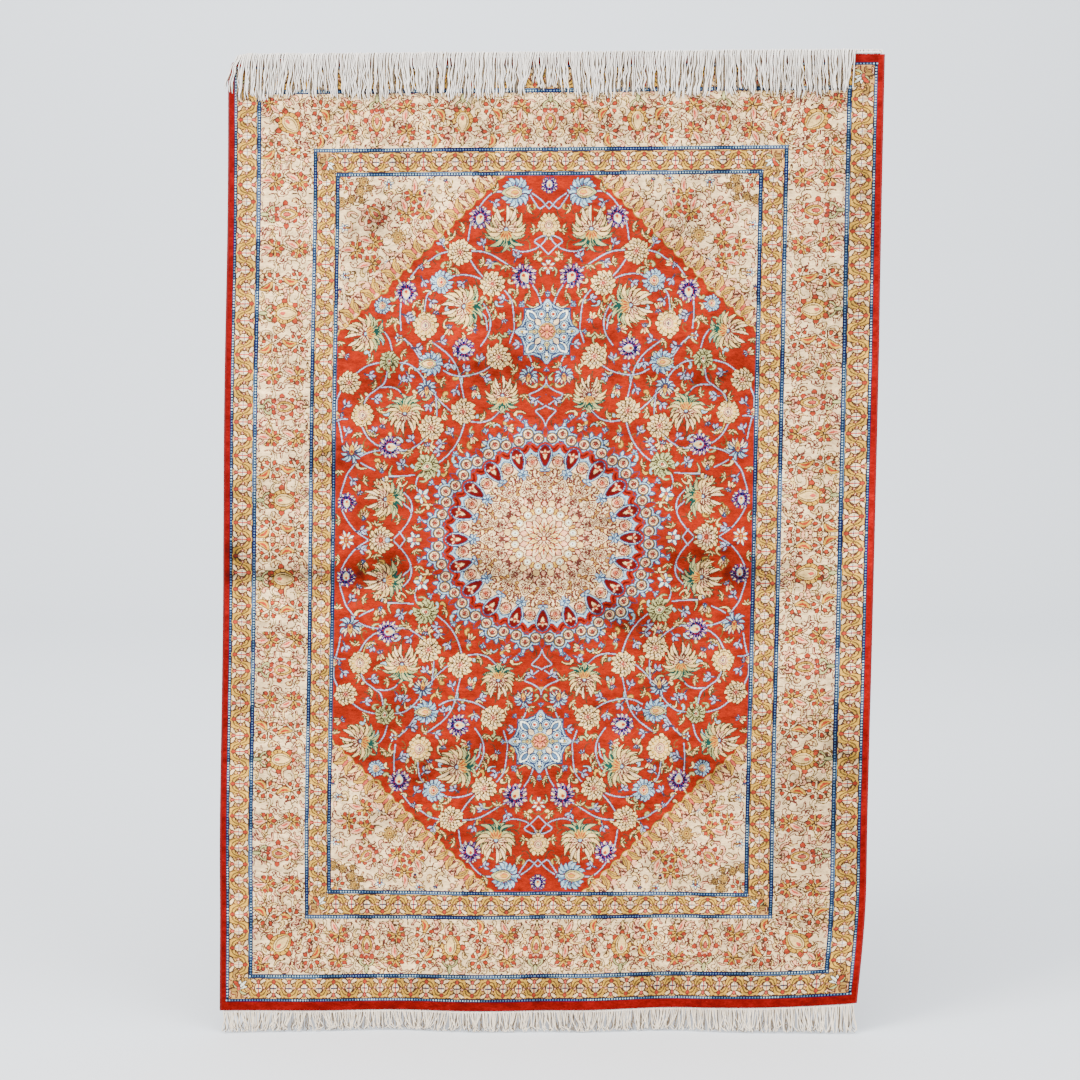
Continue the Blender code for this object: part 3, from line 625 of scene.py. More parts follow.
def folded(view, count, offset, reach=200, mirrored=False):  # one sector, repeated round the origin
    part = view.near(0, 0, 0, reach)
    away, angle = np.hypot(part.x, part.y), np.arctan2(part.y, part.x)
    step = 2 * math.pi / count
    fold = (angle - math.radians(offset) + step / 2) % step - step / 2
    return Cloth(part.ink, away * np.cos(fold), away * np.sin(abs(fold) if mirrored else fold)), away


def medallion(view):
    view = Cloth(view.ink, view.x / 1.035, view.y / 0.975)  # a little wider than high
    lobes, away = folded(view, 20, 9, mirrored=True)
    cells = folded(view, 20, 0, mirrored=True)[0]
    beads = ((171, 0), (162, 15.2))
    for x, y, turn, length in ((177, 0, 0, 14), (174, 9, 26, 13), (165, 21, 48, 13)):
        leaf(lobes, x, y, turn, length, 7.0, "paleBlue", "blue", rim=1.8)
    for size, yarn in ((12.8, "blue"), (11.2, "paleBlue"), (9.7, "blue")):
        for x, y in beads:
            spot(lobes, x, y, size, yarn)
        lobes.dye(away < 142 + size, yarn)
    lobes.dye(away < 150, "paleBlue")
    leaf(cells, 181, 0, 180, 19, 9, "red", "blue")
    leaf(lobes, 80, 0, 0, 60, 35.5, "paleBlue", "blue", waist=1.3, rim=1.6)
    leaf(lobes, 82, 0, 0, 56, 32, "ivory", "brown", waist=1.3, rim=1.3)
    leaf(lobes, 90, 2, 34, 19, 6.5, "greenIvory", "rust", bend=0.2, rim=1.5)
    leaf(lobes, 104, 3, 46, 14, 5.5, "cream", "rust", bend=-0.2, rim=1.5)
    hook(lobes, 114, 3, 130, 5, "brown", 1, 1.8)
    leaf(lobes, 96, 0, 0, 20, 6, "straw", "rust", rim=1.5)
    spot(lobes, 125.5, 0, 9.2, "cream", "rust", rim=1.7)
    flower(lobes, "roundel", 125.5, 0, 0, 7.2)
    bracket = curve([(151, 0), (149, 5), (145, 10), (145, 15), (150, 19.5)], 4)
    stroke(cells, bracket, 9.6, "red", "blue", taper=0.9, rim=1.0)
    stroke(cells, bracket, 3.6, "deepRed", taper=0.8)
    leaf(cells, 153, 0, 180, 43, 23.5, "paleBlue", "blue", rim=1.5, waist=0.75)
    leaf(cells, 152, 0, 180, 37, 18, "deepRed", "blue", rim=1.2, waist=0.75)
    leaf(cells, 145, 0, 180, 18, 7.6, "cream", "rust", rim=1.5)
    leaf(cells, 138, 1.5, 62, 8.5, 4.4, "pinkIvory", "rust", rim=1.2)
    spot(cells, 138, 0, 2.4, "coral")
    for x, y in beads:
        spot(lobes, x, y, 8.4, "oliveGold")
        spot(lobes, x, y, 6.6, "ivory")
        flower(lobes, "roundel", x, y, 0, 5.0, rim=1.6)
    cells.dye(away < 99, "ivory")
    for angle in (0, 60, 120, 180):
        leaf(cells, 108, 0, angle, 10, 6.6, "paleBlue", "blue", rim=1.6)
    spot(cells, 108, 0, 2.4, "lightBlue", "blue")
    paleMiddle(view)


def paleMiddle(view):  # the middle of the medallion
    tens, away = folded(view, 10, 0, 125, mirrored=True)
    between = folded(view, 10, 18, 125, mirrored=True)[0]
    tens.dye(away < 99, "ivory")
    fills, edges = ("ivory", "straw", "pinkIvory", "cream", "gold"), ("rust", "ochre", "rust", "oliveGold")
    scrolls(tens, 78, 13, 58, 34, 7.6, 3, 0.45, fills, edges, 1.9)
    leaf(tens, 62, 5, 30, 18, 8, "ivory", "rust", bend=0.25, rim=1.6)
    leaf(between, 62, 5, 40, 15, 7, "pinkIvory", "rust", bend=0.25, rim=1.6)
    leaf(between, 88, 8, -30, 16, 7, "cream", "rust", bend=0.2, rim=1.6)
    palms = ((tens, 85, 0, 12), (between, 92, 180, 11), (tens, 66, 0, 8), (between, 74, 0, 9))
    for place, x, turn, size in palms:
        spot(place, x, 0, size * 0.9, "ivory")
        flower(place, "palm", x, 0, turn, size, rim=1.5)
    ring, away = folded(view, 16, 0, 66, mirrored=True)
    gaps = folded(view, 16, 11.25, 66, mirrored=True)[0]
    ring.dye(away < 55, "ivory")
    leaf(gaps, 50, 0, 0, 14, 13, "cream", "rust", rim=1.7)
    leaf(ring, 50, 0, 0, 13, 8, "pinkIvory", "rust", rim=1.7)
    leaf(ring, 40, 0, 0, 13, 8, "straw", "rust", rim=1.7)
    spot(gaps, 45.5, 0, 7.6, "ivory", "rust", rim=1.7)
    spot(gaps, 45.5, 0, 4.8, "white", "greenIvory")
    spot(gaps, 45.5, 0, 1.5, "rust")
    petalRings = (
        (15, 39, 14, 12, 15, "pinkIvory"), (12, 35, 11, 12, 0, "ivory"),
        (7, 25, 8.6, 12, 15, "cream"), (3, 16, 6.4, 8, 0, "ivory"),
    )
    for start, end, wide, count, offset, yarn in petalRings:
        petals = folded(view, count, offset, 60)[0]
        leaf(petals, start, 0, 0, end - start, wide, yarn, "rust", rim=1.7)
        leaf(petals, start + 4, 0, 0, (end - start) * 0.5, 2.0, "coral" if yarn == "ivory" else "straw")
    spot(view, 0, 0, 3.6, "cream", "coral")


def pendant(view, x, y):  # the eight-pointed cartouche above and below the medallion
    part = view.near(x, y, 0, 60)
    away = np.hypot(part.x, part.y)
    star = np.minimum(np.maximum(abs(part.x), abs(part.y)) / 37, (abs(part.x) + abs(part.y)) / 53)
    wave = np.minimum(star, away / 43)
    for size, yarn in ((1.0, "blue"), (0.95, "paleBlue"), (0.905, "blue"), (0.86, "paleBlue"), (0.78, "blue"),
                       (0.735, "lightBlue"), (0.69, "paleBlue"), (0.53, "blue"), (0.485, "paleBlue")):
        part.dye(wave < size, yarn)
    for turn in (0, 90, 180, 270):
        arm = part.near(0, 0, turn, 60)
        leaf(arm, 27, 0, 0, 25, 16, "paleBlue", "blue", rim=1.8)
        leaf(arm, 30, 0, 0, 16, 8, "white", "blue", rim=1.5)
        leaf(arm, 13, 0, 0, 17, 11, "greenIvory", "stemEdge", rim=1.8)
        spot(arm, 40, 0, 2.4, "straw", "olive")
        for way in (-1, 1):
            spot(arm, 27, 9.5 * way, 8.4, "paleBlue", "blue", rim=1.7)
            spot(arm, 27, 9.5 * way, 5.6, "white", "blue", rim=1.5)
            spot(arm, 27, 9.5 * way, 2.6, "coral")
        spot(arm, 20.5, 0, 2.6, "straw", "blue")
        slant = part.near(0, 0, turn + 45, 60)
        leaf(slant, 22, 0, 0, 26, 15, "white", "blue", rim=1.8)
        leaf(slant, 26, 0, 0, 16, 7, "lightBlue", "blue", rim=1.5)
        leaf(slant, 13, 0, 0, 15, 10, "ivory", "stemEdge", rim=1.8)
    spot(part, 0, 0, 15.5, "paleBlue", "blue")
    spot(part, 0, 0, 14, "gold")
    for turn in range(0, 360, 45):
        leaf(part, 1, 0, turn, 12, 6.4, "pink", "rust", rim=1.6)
    spot(part, 0, 0, 2.2, "straw", "coral")
    for turn in range(0, 360, 45):
        out, angle = 57 if turn % 90 else 58, math.radians(turn)
        flower(view, "blueBud", x + out * math.cos(angle), y + out * math.sin(angle), turn, 6.5)


border = {"side": 40, "end": 47, "wide": 83, "high": 87}  # all in knots
guards = [  # side, end, inner side, inner end in knots, each arm's run in mm and its turns, reach in mm
    (10, 16, 37, 44, ((700, 26), (466, 18)), 14.9),
    (126, 137, 155, 167, ((571, 22), (338, 13)), 16.0),
]
stripes = [(6, 12, 4), (37, 44, 6), (120, 131, 6), (155, 167, 6)]  # side, end, width in knots


def rugChart():
    quarter = np.full((quarterRows, quarterColumns), yarnNumber["marginRed"], dtype=np.int64)
    mainBorder(quarter[:-border["end"], :-border["side"]], border["wide"], border["high"])
    for band in guards:
        guard(quarter, *band)
    field(quarter[:fieldRows, :fieldColumns])
    for seed, (side, end, wide) in enumerate(stripes):
        stripe(quarter, side, end, wide, seed)
    half = np.concatenate([quarter[:, ::-1], quarter], axis=1)
    half[:, -stripes[0][0]:] = yarnNumber["paintedSheenRed"]  # the margin on the right is lighter: painted sheen
    return np.concatenate([half[::-1], half], axis=0)[::-1]  # from the lower edge up


rug = {
    "length": 1.512, "width": 1.030, "thickness": 0.004,
    "cordWidth": 0.0042, "cordDepth": 0.0044, "floor": -1.5465,
    "cornerReach": 0.040, "cornerCurl": (0.005, 0.012, -0.005),
}
outline = [  # down, middle, width
    (0.00, 0.0000, 1.022), (0.16, -0.0030, 1.023), (0.36, -0.0080, 1.029), (0.57, -0.0125, 1.030),
    (0.79, -0.0195, 1.033), (0.90, -0.0215, 1.032), (1.00, -0.0285, 1.022),
]
endRises = [  # side, top, bottom
    (-1.00, -0.0023, 0.0020), (-0.60, -0.0015, -0.0015), (-0.10, 0.0, 0.0),
    (0.40, 0.0020, 0.0030), (0.78, 0.0036, 0.0080), (1.00, 0.0046, 0.0150),
]
creases = [  # runs across, place, lift, spread, middle, reach
    (True, 0.512, 0.0050, 0.022, -0.15, 0.85), (True, 0.302, 0.0022, 0.024, 0.20, 0.90),
    (True, 0.702, -0.0028, 0.026, 0.10, 0.90), (False, -0.49, 0.0020, 0.075, 0.50, 0.60),
    (False, 0.02, -0.0034, 0.070, 0.52, 0.60), (False, 0.52, 0.0030, 0.070, 0.54, 0.60),
]
waves = [  # depth, across, down, turn, hem
    (0.0040, 0.45, 0.80, 0.10, 0), (0.0025, 0.90, -1.30, 0.65, 0),
    (0.0060, 1.10, 0.00, 0.30, 4), (0.0025, 2.30, 0.00, 0.80, 6),
]


def through(rows, at):  # the rows' other values on a smooth curve through them
    fine = np.array(curve(rows, 24))
    return [np.interp(at, fine[:, 0], fine[:, column]) for column in range(1, fine.shape[1])]


def hang(points):  # points of the flat layout, in their places in the hanging cloth
    x, y, z = np.asarray(points, dtype=float).T
    down = np.clip(-z / rug["length"], 0, 1)
    side = x / (rug["width"] / 2)
    middle, width = through(outline, down)
    top, bottom = through(endRises, side)
    relief = np.zeros(len(x))
    for across, place, lift, spread, centre, reach in creases:
        along, off = (side, down) if across else (down, side)
        relief += lift * np.exp(-((along - centre) / reach) ** 4) * np.exp(-((off - place) / spread) ** 2)
    for depth, across, fall, turn, hem in waves:
        relief += depth * down ** hem * np.sin(2 * math.pi * (across * side + fall * down + turn))
    fromCorner = rug["width"] / 2 + x - np.minimum(z, 0)
    curl = np.maximum(1 - fromCorner / rug["cornerReach"], 0) ** 2
    dx, dy, dz = rug["cornerCurl"]
    return np.stack([middle + x * width / rug["width"] + dx * curl, y - relief + dy * curl,
                     z + top + (bottom - top) * down + dz * curl], axis=1)


# The weaver's bands are not quite even: where the chart's lines lie in the cloth, in mm. The lower
# bands slope down to the right.
unevenAcross = (
    [-510.4, -501.6, -466.4, -375.1, -336.6, 0, 336.6, 375.1, 466.4, 501.6, 510.4],
    [-510.4, -501.2, -464.4, -375.9, -340.5, -8.4, 322.7, 362.3, 458.7, 500.2, 510.4],
)
unevenUp = (
    [-756.8, -741.4, -705.1, -609.4, -569.8, 0, 569.8, 609.4, 705.1, 741.4, 756.8],
    [-756.0, -739.4, -699.9, -604.6, -566.1, 4.6, 576.1, 613.7, 704.0, 741.6, 756.0],
)
lean = ([-699.9, -604.6, -566.1, -100.0], [0.0, 0.007, 0.016, 0.0])


def linear(colour):  # an sRGB colour for a node
    return [((c / 255 + 0.055) / 1.055) ** 2.4 if c > 10 else c / 3295 for c in colour] + [1.0]


class Nodes:  # a material's node tree, built by name
    def __init__(self, name):
        self.material = bpy.data.materials.new(name)
        self.material.use_nodes = True
        self.tree = self.material.node_tree
        self.shader = self.tree.nodes["Principled BSDF"]

    def add(self, kind, inputs=(), **settings):
        node = self.tree.nodes.new("ShaderNode" + kind)
        for key, value in settings.items():
            setattr(node, key, value)
        for number, value in enumerate(inputs):
            self.feed(node.inputs[number], value)
        return node

    def feed(self, socket, value):
        if isinstance(value, bpy.types.NodeSocket):
            self.tree.links.new(value, socket)
        else:
            socket.default_value = value

    def math(self, operation, *inputs):
        return self.add("Math", inputs, operation=operation).outputs[0]

    def fill(self, node, **inputs):  # inputs by name, with an underscore for a space
        for key, value in inputs.items():
            self.feed(node.inputs[key.replace("_", " ")], value)

    def noise(self, vector, scale, detail, roughness=0.5):
        node = self.add("TexNoise")
        self.fill(node, Vector=vector, Scale=scale, Detail=detail, Roughness=roughness)
        return node.outputs["Fac"]

    def spread(self, value, low, high, toLow, toHigh):
        return self.add("MapRange", (value, low, high, toLow, toHigh)).outputs[0]

    def mottle(self, vector, scale, detail, roughness, dark, light):  # noise as a change of brightness
        return self.spread(self.noise(vector, scale, detail, roughness), 0.3, 0.7, dark, light)

    def stretch(self, vector, *scale):
        return self.add("Mapping", (vector, (0, 0, 0), (0, 0, 0), scale)).outputs[0]

    def shaded(self, colour, brightness):
        node = self.add("HueSaturation")
        self.fill(node, Value=brightness, Color=colour)
        return node.outputs[0]

    def bump(self, height, strength, distance):
        node = self.add("Bump")
        self.fill(node, Height=height, Strength=strength, Distance=distance)
        self.fill(self.shader, Normal=node.outputs[0])

    def finish(self, colour, roughness, specular):
        self.fill(self.shader, Base_Color=colour, Roughness=roughness, Specular_IOR_Level=specular)
        return self.material


knotsPerFace = 4  # each way
slots = 32  # the most yarns that a colour ramp takes, and the base of the digits in a face's colour


def knotColours(nodes, columns, rows):
    # a face's colour holds its knots: a row in each channel, a knot in each digit
    place = nodes.add("SeparateXYZ", (nodes.add("UVMap", uv_map="OFBake").outputs[0],))
    column = nodes.math("FRACT", nodes.math("MULTIPLY", place.outputs[0], float(columns)))
    row = nodes.math("FRACT", nodes.math("MULTIPLY", place.outputs[1], float(rows)))
    column = nodes.math("FLOOR", nodes.math("MULTIPLY", column, float(knotsPerFace)))
    row = nodes.math("FLOOR", nodes.math("MULTIPLY", row, float(knotsPerFace)))
    held = nodes.add("Attribute", attribute_name="knots")
    channels = nodes.add("SeparateXYZ", (held.outputs["Vector"],))
    chosen, share = 0.0, 0.0
    for number, channel in enumerate([*channels.outputs, held.outputs["Alpha"]]):
        chosen = nodes.math("MULTIPLY_ADD", channel, nodes.math("COMPARE", row, float(number), 0.25), chosen)
        here = nodes.math("COMPARE", column, float(number), 0.25)
        share = nodes.math("MULTIPLY_ADD", here, float(slots) ** -number, share)
    digit = nodes.math("FLOOR", nodes.math("MULTIPLY", chosen, share))
    digit = nodes.math("FLOORED_MODULO", digit, float(slots))
    ramp = nodes.add("ValToRGB", (nodes.math("DIVIDE", nodes.math("ADD", digit, 0.5), float(slots)),))
    ramp.color_ramp.interpolation = "CONSTANT"
    stops = ramp.color_ramp.elements
    for number, colour in enumerate(yarns.values()):
        stop = stops[number] if number < 2 else stops.new(number / slots)
        stop.position = number / slots
        stop.color = linear(colour)
    return ramp.outputs[0]


def wovenSheet(name, chart, depth, columns, rows):
    width = rug["width"] - 1.6 * rug["cordWidth"]  # its edges lie inside the side cords
    bm = bmesh.new()
    stand = Matrix.Rotation(math.pi / 2, 4, "X")
    bmesh.ops.create_grid(bm, x_segments=columns, y_segments=rows, size=0.5, matrix=stand, calc_uvs=True)
    uv = bm.loops.layers.uv.verify()
    for face in bm.faces:
        for loop in face.loops:
            loop[uv].uv = (loop.vert.co.x + 0.5, loop.vert.co.z + 0.5)
    held = bm.faces.layers.float_color.new("knots")
    blocks = chart.reshape(rows, knotsPerFace, columns, knotsPerFace).transpose(0, 2, 1, 3)
    digits = blocks @ slots ** np.arange(knotsPerFace)
    for face in bm.faces:
        middle = face.calc_center_median()
        face[held] = digits[int((middle.z + 0.5) * rows), int((middle.x + 0.5) * columns)]
    flat = np.array([vert.co[:] for vert in bm.verts])
    across, up = flat[:, 0] * 2 * quarterColumns * knot, flat[:, 2] * 2 * quarterRows * knot
    x = np.interp(across, *unevenAcross) / (2 * unevenAcross[1][-1]) * width
    up = np.interp(up, *unevenUp)
    z = ((up - across * np.interp(up, *lean)) / (2 * unevenUp[1][-1]) - 0.5) * rug["length"]
    for vert, place in zip(bm.verts, hang(np.stack([x, np.full(len(x), depth), z], axis=1))):
        vert.co = place
    if depth > 0:
        bmesh.ops.reverse_faces(bm, faces=bm.faces)
    for face in bm.faces:
        face.smooth = True
    return finishMesh(name, bm)


def finishMesh(name, bm):
    mesh = bpy.data.meshes.new(name)
    bm.to_mesh(mesh)
    bm.free()
    if mesh.uv_layers:
        mesh.uv_layers[0].name = "OFBake"
    return placed(name, mesh)


def placed(name, data):
    thing = bpy.data.objects.new(name, data)
    bpy.context.collection.objects.link(thing)
    return thing


paintedShadeAndLight = [  # painted shade and painted highlights of the folds and the lighting, soft places set into the silk's colour: x, height, half width, half height, turn, change
    (-0.41, -0.808, 0.200, 0.020, -2, -0.61), (-0.505, -0.790, 0.030, 0.110, 0, -0.58),
    (-0.44, -0.855, 0.180, 0.034, 0, 0.22), (-0.29, -0.800, 0.090, 0.036, -12, -0.61),
    (-0.05, -0.806, 0.170, 0.030, 2, -0.52), (0.11, -0.880, 0.090, 0.036, 16, -0.62),
    (0.235, -0.790, 0.130, 0.060, 8, -0.58), (0.00, -0.720, 0.160, 0.080, 0, 0.18),
    (0.36, -0.815, 0.180, 0.022, 3, -0.49), (0.50, -0.730, 0.060, 0.130, 0, 0.40),
    (0.46, -0.330, 0.150, 0.480, 0, -0.29), (-0.17, -1.115, 0.150, 0.045, -14, -0.52),
    (0.235, -1.120, 0.080, 0.044, 0, -0.55), (0.40, -1.230, 0.200, 0.280, 0, -0.29),
    (-0.20, -0.370, 0.150, 0.110, 20, 0.16), (-0.44, -0.320, 0.120, 0.360, 0, 0.10),
    (0.47, -1.100, 0.090, 0.110, 0, -0.41), (-0.28, -0.250, 0.080, 0.040, -30, -0.49),
    (0.20, -0.260, 0.070, 0.100, 40, -0.43), (-0.12, -0.480, 0.110, 0.040, 0, -0.41),
    (0.26, -0.500, 0.100, 0.050, 0, -0.52), (-0.36, -0.620, 0.080, 0.040, 0, -0.43),
    (0.54, -0.720, 0.070, 0.900, 0, 0.50), (-0.52, -0.870, 0.030, 0.100, 0, 0.45),
    (0.02, -1.475, 0.500, 0.035, -1, -0.32), (-0.02, -0.105, 0.340, 0.040, 0, -0.29),
]


pileLook = {  # a mottle is scale, detail, roughness, darkest and lightest
    "grain": (420.0, 2.0, 0.6, 0.74, 1.22), "streaks": (85.0, 3.0, 0.6, 0.66, 1.28),
    "patches": (9.0, 6.0, 0.66, 0.68, 1.26), "paintedShadeEdge": (45.0, 3.0, 0.6),
    "roughness": 0.62, "specular": 0.05, "relief": (900.0, 3.0, 0.6), "reliefDepth": (0.4, 0.001),
}


def pileMaterial(name, columns, rows):
    nodes = Nodes(name)
    look = pileLook
    colour = knotColours(nodes, columns, rows)
    place = nodes.add("TexCoord").outputs["Object"]
    along = nodes.stretch(place, 0.55, 1.0, 1.3)
    grain, streaks = nodes.mottle(along, *look["grain"]), nodes.mottle(along, *look["streaks"])
    # patches: large soft changes of tone, partly uneven dye and partly painted sheen of the silk
    patches = nodes.mottle(nodes.stretch(place, 1.0, 1.0, 1.6), *look["patches"])
    tone = nodes.math("MULTIPLY", patches, nodes.math("MULTIPLY", grain, streaks))
    # painted shade and painted highlights: each place darkens or lightens the knots' colour, with a ragged
    # edge
    ragged = nodes.spread(nodes.noise(place, *look["paintedShadeEdge"]), 0.35, 0.65, 0.4, 1.5)
    for x, height, wide, high, turn, change in paintedShadeAndLight:
        spin, size = (0.0, math.radians(turn), 0.0), (wide, 1.0, high)
        local = nodes.add("Mapping", (place, (x, 0.0, height), spin, size), vector_type="TEXTURE")
        soft = nodes.add("TexGradient", (local.outputs[0],), gradient_type="SPHERICAL").outputs["Fac"]
        reach = nodes.math("MULTIPLY", soft, ragged)
        tone = nodes.math("MULTIPLY", tone, nodes.math("MULTIPLY_ADD", reach, change, 1.0))
    nodes.bump(nodes.noise(place, *look["relief"]), *look["reliefDepth"])
    return nodes.finish(nodes.shaded(colour, tone), look["roughness"], look["specular"])


cordLook = {
    "facesRound": 10, "facesAlong": 756, "ripple": 0.05, "wraps": 1100.0, "reliefDepth": (0.5, 0.0006),
    "mottle": (60.0, 3.0, 0.5, 0.75, 1.15), "roughness": 0.6, "specular": 0.2,
}


def cordMaterial(name, yarn):
    nodes = Nodes(name)
    look = cordLook
    place = nodes.add("SeparateXYZ", (nodes.add("UVMap", uv_map="OFBake").outputs[0],))
    turns = nodes.math("MULTIPLY_ADD", place.outputs[1], look["wraps"], place.outputs[0])
    wrap = nodes.math("PINGPONG", turns, 0.5)
    mottle = nodes.mottle(nodes.add("TexCoord").outputs["Object"], *look["mottle"])
    # the grooves between the wraps are darker: painted shade where the bump is low
    tone = nodes.math("MULTIPLY", mottle, nodes.spread(wrap, 0.0, 0.5, 0.7, 1.05))
    nodes.bump(wrap, *look["reliefDepth"])
    return nodes.finish(nodes.shaded(linear(yarns[yarn]), tone), look["roughness"], look["specular"])


def sideCord(name, side):  # red yarn wrapped round the outermost warps
    bm = bmesh.new()
    across, along = cordLook["facesRound"], cordLook["facesAlong"]
    bmesh.ops.create_grid(bm, x_segments=across, y_segments=along, size=0.5, calc_uvs=True)
    uv = bm.loops.layers.uv.verify()
    for face in bm.faces:
        for loop in face.loops:
            loop[uv].uv = (loop.vert.co.x + 0.5, loop.vert.co.y + 0.5)
    middle = side * (rug["width"] - rug["cordWidth"]) / 2
    flat = []
    for vert in bm.verts:
        turn = 2 * math.pi * vert.co.x
        fall = 0.5 - vert.co.y
        ripple = 1 + cordLook["ripple"] * math.sin(fall * 1350) * math.sin(fall * 411)
        flat.append((middle + rug["cordWidth"] / 2 * ripple * math.sin(turn),
                     -rug["cordDepth"] / 2 * ripple * math.cos(turn), -rug["length"] * fall))
    for vert, place in zip(bm.verts, hang(flat)):
        vert.co = place
    bmesh.ops.remove_doubles(bm, verts=bm.verts, dist=1e-6)
    bmesh.ops.holes_fill(bm, edges=[edge for edge in bm.edges if edge.is_boundary])
    bmesh.ops.recalc_face_normals(bm, faces=bm.faces)
    for face in bm.faces:
        face.smooth = len(face.verts) == 4
    piece = finishMesh(name, bm)
    # the right cord takes the lighter margin red: painted sheen
    piece.data.materials.append(cordMaterial(name, "paintedSheenRed" if side > 0 else "marginRed"))
    return piece


def yarnPiece(name, routes, radius, material):  # one curve with a strand along each route
    data = bpy.data.curves.new(name, "CURVE")
    data.dimensions = "3D"
    data.bevel_depth = radius
    data.bevel_resolution = 0
    data.use_fill_caps = True
    for route, sizes in routes:
        strand = data.splines.new("POLY")
        strand.points.add(len(route) - 1)
        places = np.concatenate([hang(route), np.ones((len(route), 1))], axis=1)
        strand.points.foreach_set("co", places.ravel())
        strand.points.foreach_set("radius", sizes)
        strand.use_smooth = True
    data.materials.append(material)
    return placed(name, data)


fringeLook = {
    "strandScale": 700.0, "patchScale": 14.0, "twist": (260.0, 0.6, 1.0), "reliefDepth": (0.35, 0.0005),
    "roughness": 0.75, "specular": 0.2,
}


def fringeMaterial(name, colour, shadow):
    nodes = Nodes(name)
    look = fringeLook
    place = nodes.add("TexCoord").outputs["Object"]
    # strands and patches set where the shadow colour is mixed in: painted shade in the gaps between strands
    strands = nodes.noise(nodes.stretch(place, 1.0, 1.0, 0.08), look["strandScale"], 1.0)
    strands = nodes.spread(strands, 0.35, 0.65, 0.0, 1.0)
    patches = nodes.spread(nodes.noise(place, look["patchScale"], 3.0), 0.35, 0.65, 0.3, 1.0)
    share = nodes.math("MULTIPLY", strands, patches)
    mix = nodes.add("Mix", data_type="RGBA")
    for key, value in ((0, share), (6, linear(colour)), (7, linear(shadow))):
        nodes.feed(mix.inputs[key], value)
    twist = nodes.add("TexWave", (place, *look["twist"]), bands_direction="DIAGONAL")
    nodes.bump(twist.outputs["Fac"], *look["reliefDepth"])
    return nodes.finish(mix.outputs[2], look["roughness"], look["specular"])


topFringe = {
    "strands": 430, "radius": 0.00082, "drop": 0.060, "uneven": 0.0028, "gatherEvery": 0.0155,
    "insetLeft": 0.010, "insetRight": 0.006, "fold": 0.0046, "layer": 0.0018, "thrownBackFrom": 0.468,
    "fan": 0.017, "fanFade": 0.026,  # at the left corner
    "short": {"middle": -0.008, "half": 0.034, "fade": 0.004, "by": 0.010},
    "openings": [  # middle, half width, push
        (-0.036, 0.010, 0.0060), (0.019, 0.006, 0.0070), (-0.255, 0.008, 0.003), (0.245, 0.008, 0.003),
    ],
    "waveHeight": (0.0012, 0.0006), "waveLength": 0.0042,
}
bottomFringe = {
    "strands": 400, "radius": 0.00084, "uneven": 0.0035, "gatherEvery": 0.013, "inset": 0.006,
    "floorGap": 0.0015, "layer": 0.0012, "tipSpread": (0.0030, 0.0052), "kick": 0.0024,
    "flareFrom": 0.46, "flare": 0.2,  # at the right corner
}
twine = {
    "radius": 0.00105, "every": 0.0052, "wide": 0.0012, "high": 0.0011, "offEdge": 0.0026, "inset": 0.0065,
    "steps": 1300,
}


def sway(x, chance, spread):  # how far a strand's end leans to the side
    drift = 0.0035 * math.sin(2 * math.pi * x / 0.13) + 0.0025 * math.sin(2 * math.pi * (x / 0.31 + 0.16))
    return drift + chance.gauss(0, spread)


def gather(x, every):  # how far a strand's end is drawn to the middle of its tuft
    number = math.floor(x / every)
    middle = (number + 0.5 + 0.22 * math.sin(number * 12.9)) * every
    return (middle - x) * (0.20 + 0.30 * math.sin(number * 5.1))


def topStrands(seed, near):  # they come up behind the edge, fold over it and hang in front
    t = topFringe
    chance = random.Random(seed)
    left, right = t["insetLeft"] - rug["width"] / 2, rug["width"] / 2 - t["insetRight"]
    for i in range(t["strands"]):
        x = left + (right - left) * (i + chance.uniform(0.1, 0.9)) / t["strands"]
        way = 1 if x > t["thrownBackFrom"] else -1
        tip = sway(x, chance, t["uneven"]) + gather(x, t["gatherEvery"])
        for middle, width, push in t["openings"]:
            tip += push * math.copysign(1, x - middle) * math.exp(-((x - middle) / width) ** 2)
        fan = t["fan"] * math.exp(-(x - left) / t["fanFade"])
        tuft = math.floor(x / t["gatherEvery"])
        drop = t["drop"] + 0.004 * math.sin(tuft * 2.7) + 0.004 * math.sin(x * 37)
        drop += chance.gauss(0, t["uneven"])
        short = t["short"]
        past = (abs(x - short["middle"]) - short["half"]) / short["fade"]
        drop -= short["by"] / (1 + math.exp(past)) + 0.4 * fan
        out = t["fold"] + 0.0012 * chance.random() + t["layer"] * near
        top = t["fold"] + 0.0016 * chance.random() + t["layer"] * near
        height = chance.gauss(*t["waveHeight"])
        phase = 2 * math.pi * x / 0.047 + chance.gauss(0, 0.9)
        stations = [(x + 0.002, 0.0, 0.0012), (x + 0.003, way * 0.0012, top * 0.9)]
        stations.append((x + 0.0015, way * out * 0.62, top))
        for share in (0.04, 0.25, 0.45, 0.65, 0.84, 1.0):
            wave = height * math.sin(phase + share * drop / t["waveLength"]) * min(1.0, 4 * share)
            aside = tip * share ** 1.3 - fan * share ** 0.7 + wave
            forward = out + 0.0006 * math.sin(5 * share)
            stations.append((x + aside, way * forward, 0.002 - share * drop))
        route = curve(stations, 2)
        yield route, [1.0] * (len(route) - 2) + [0.9, 0.6]


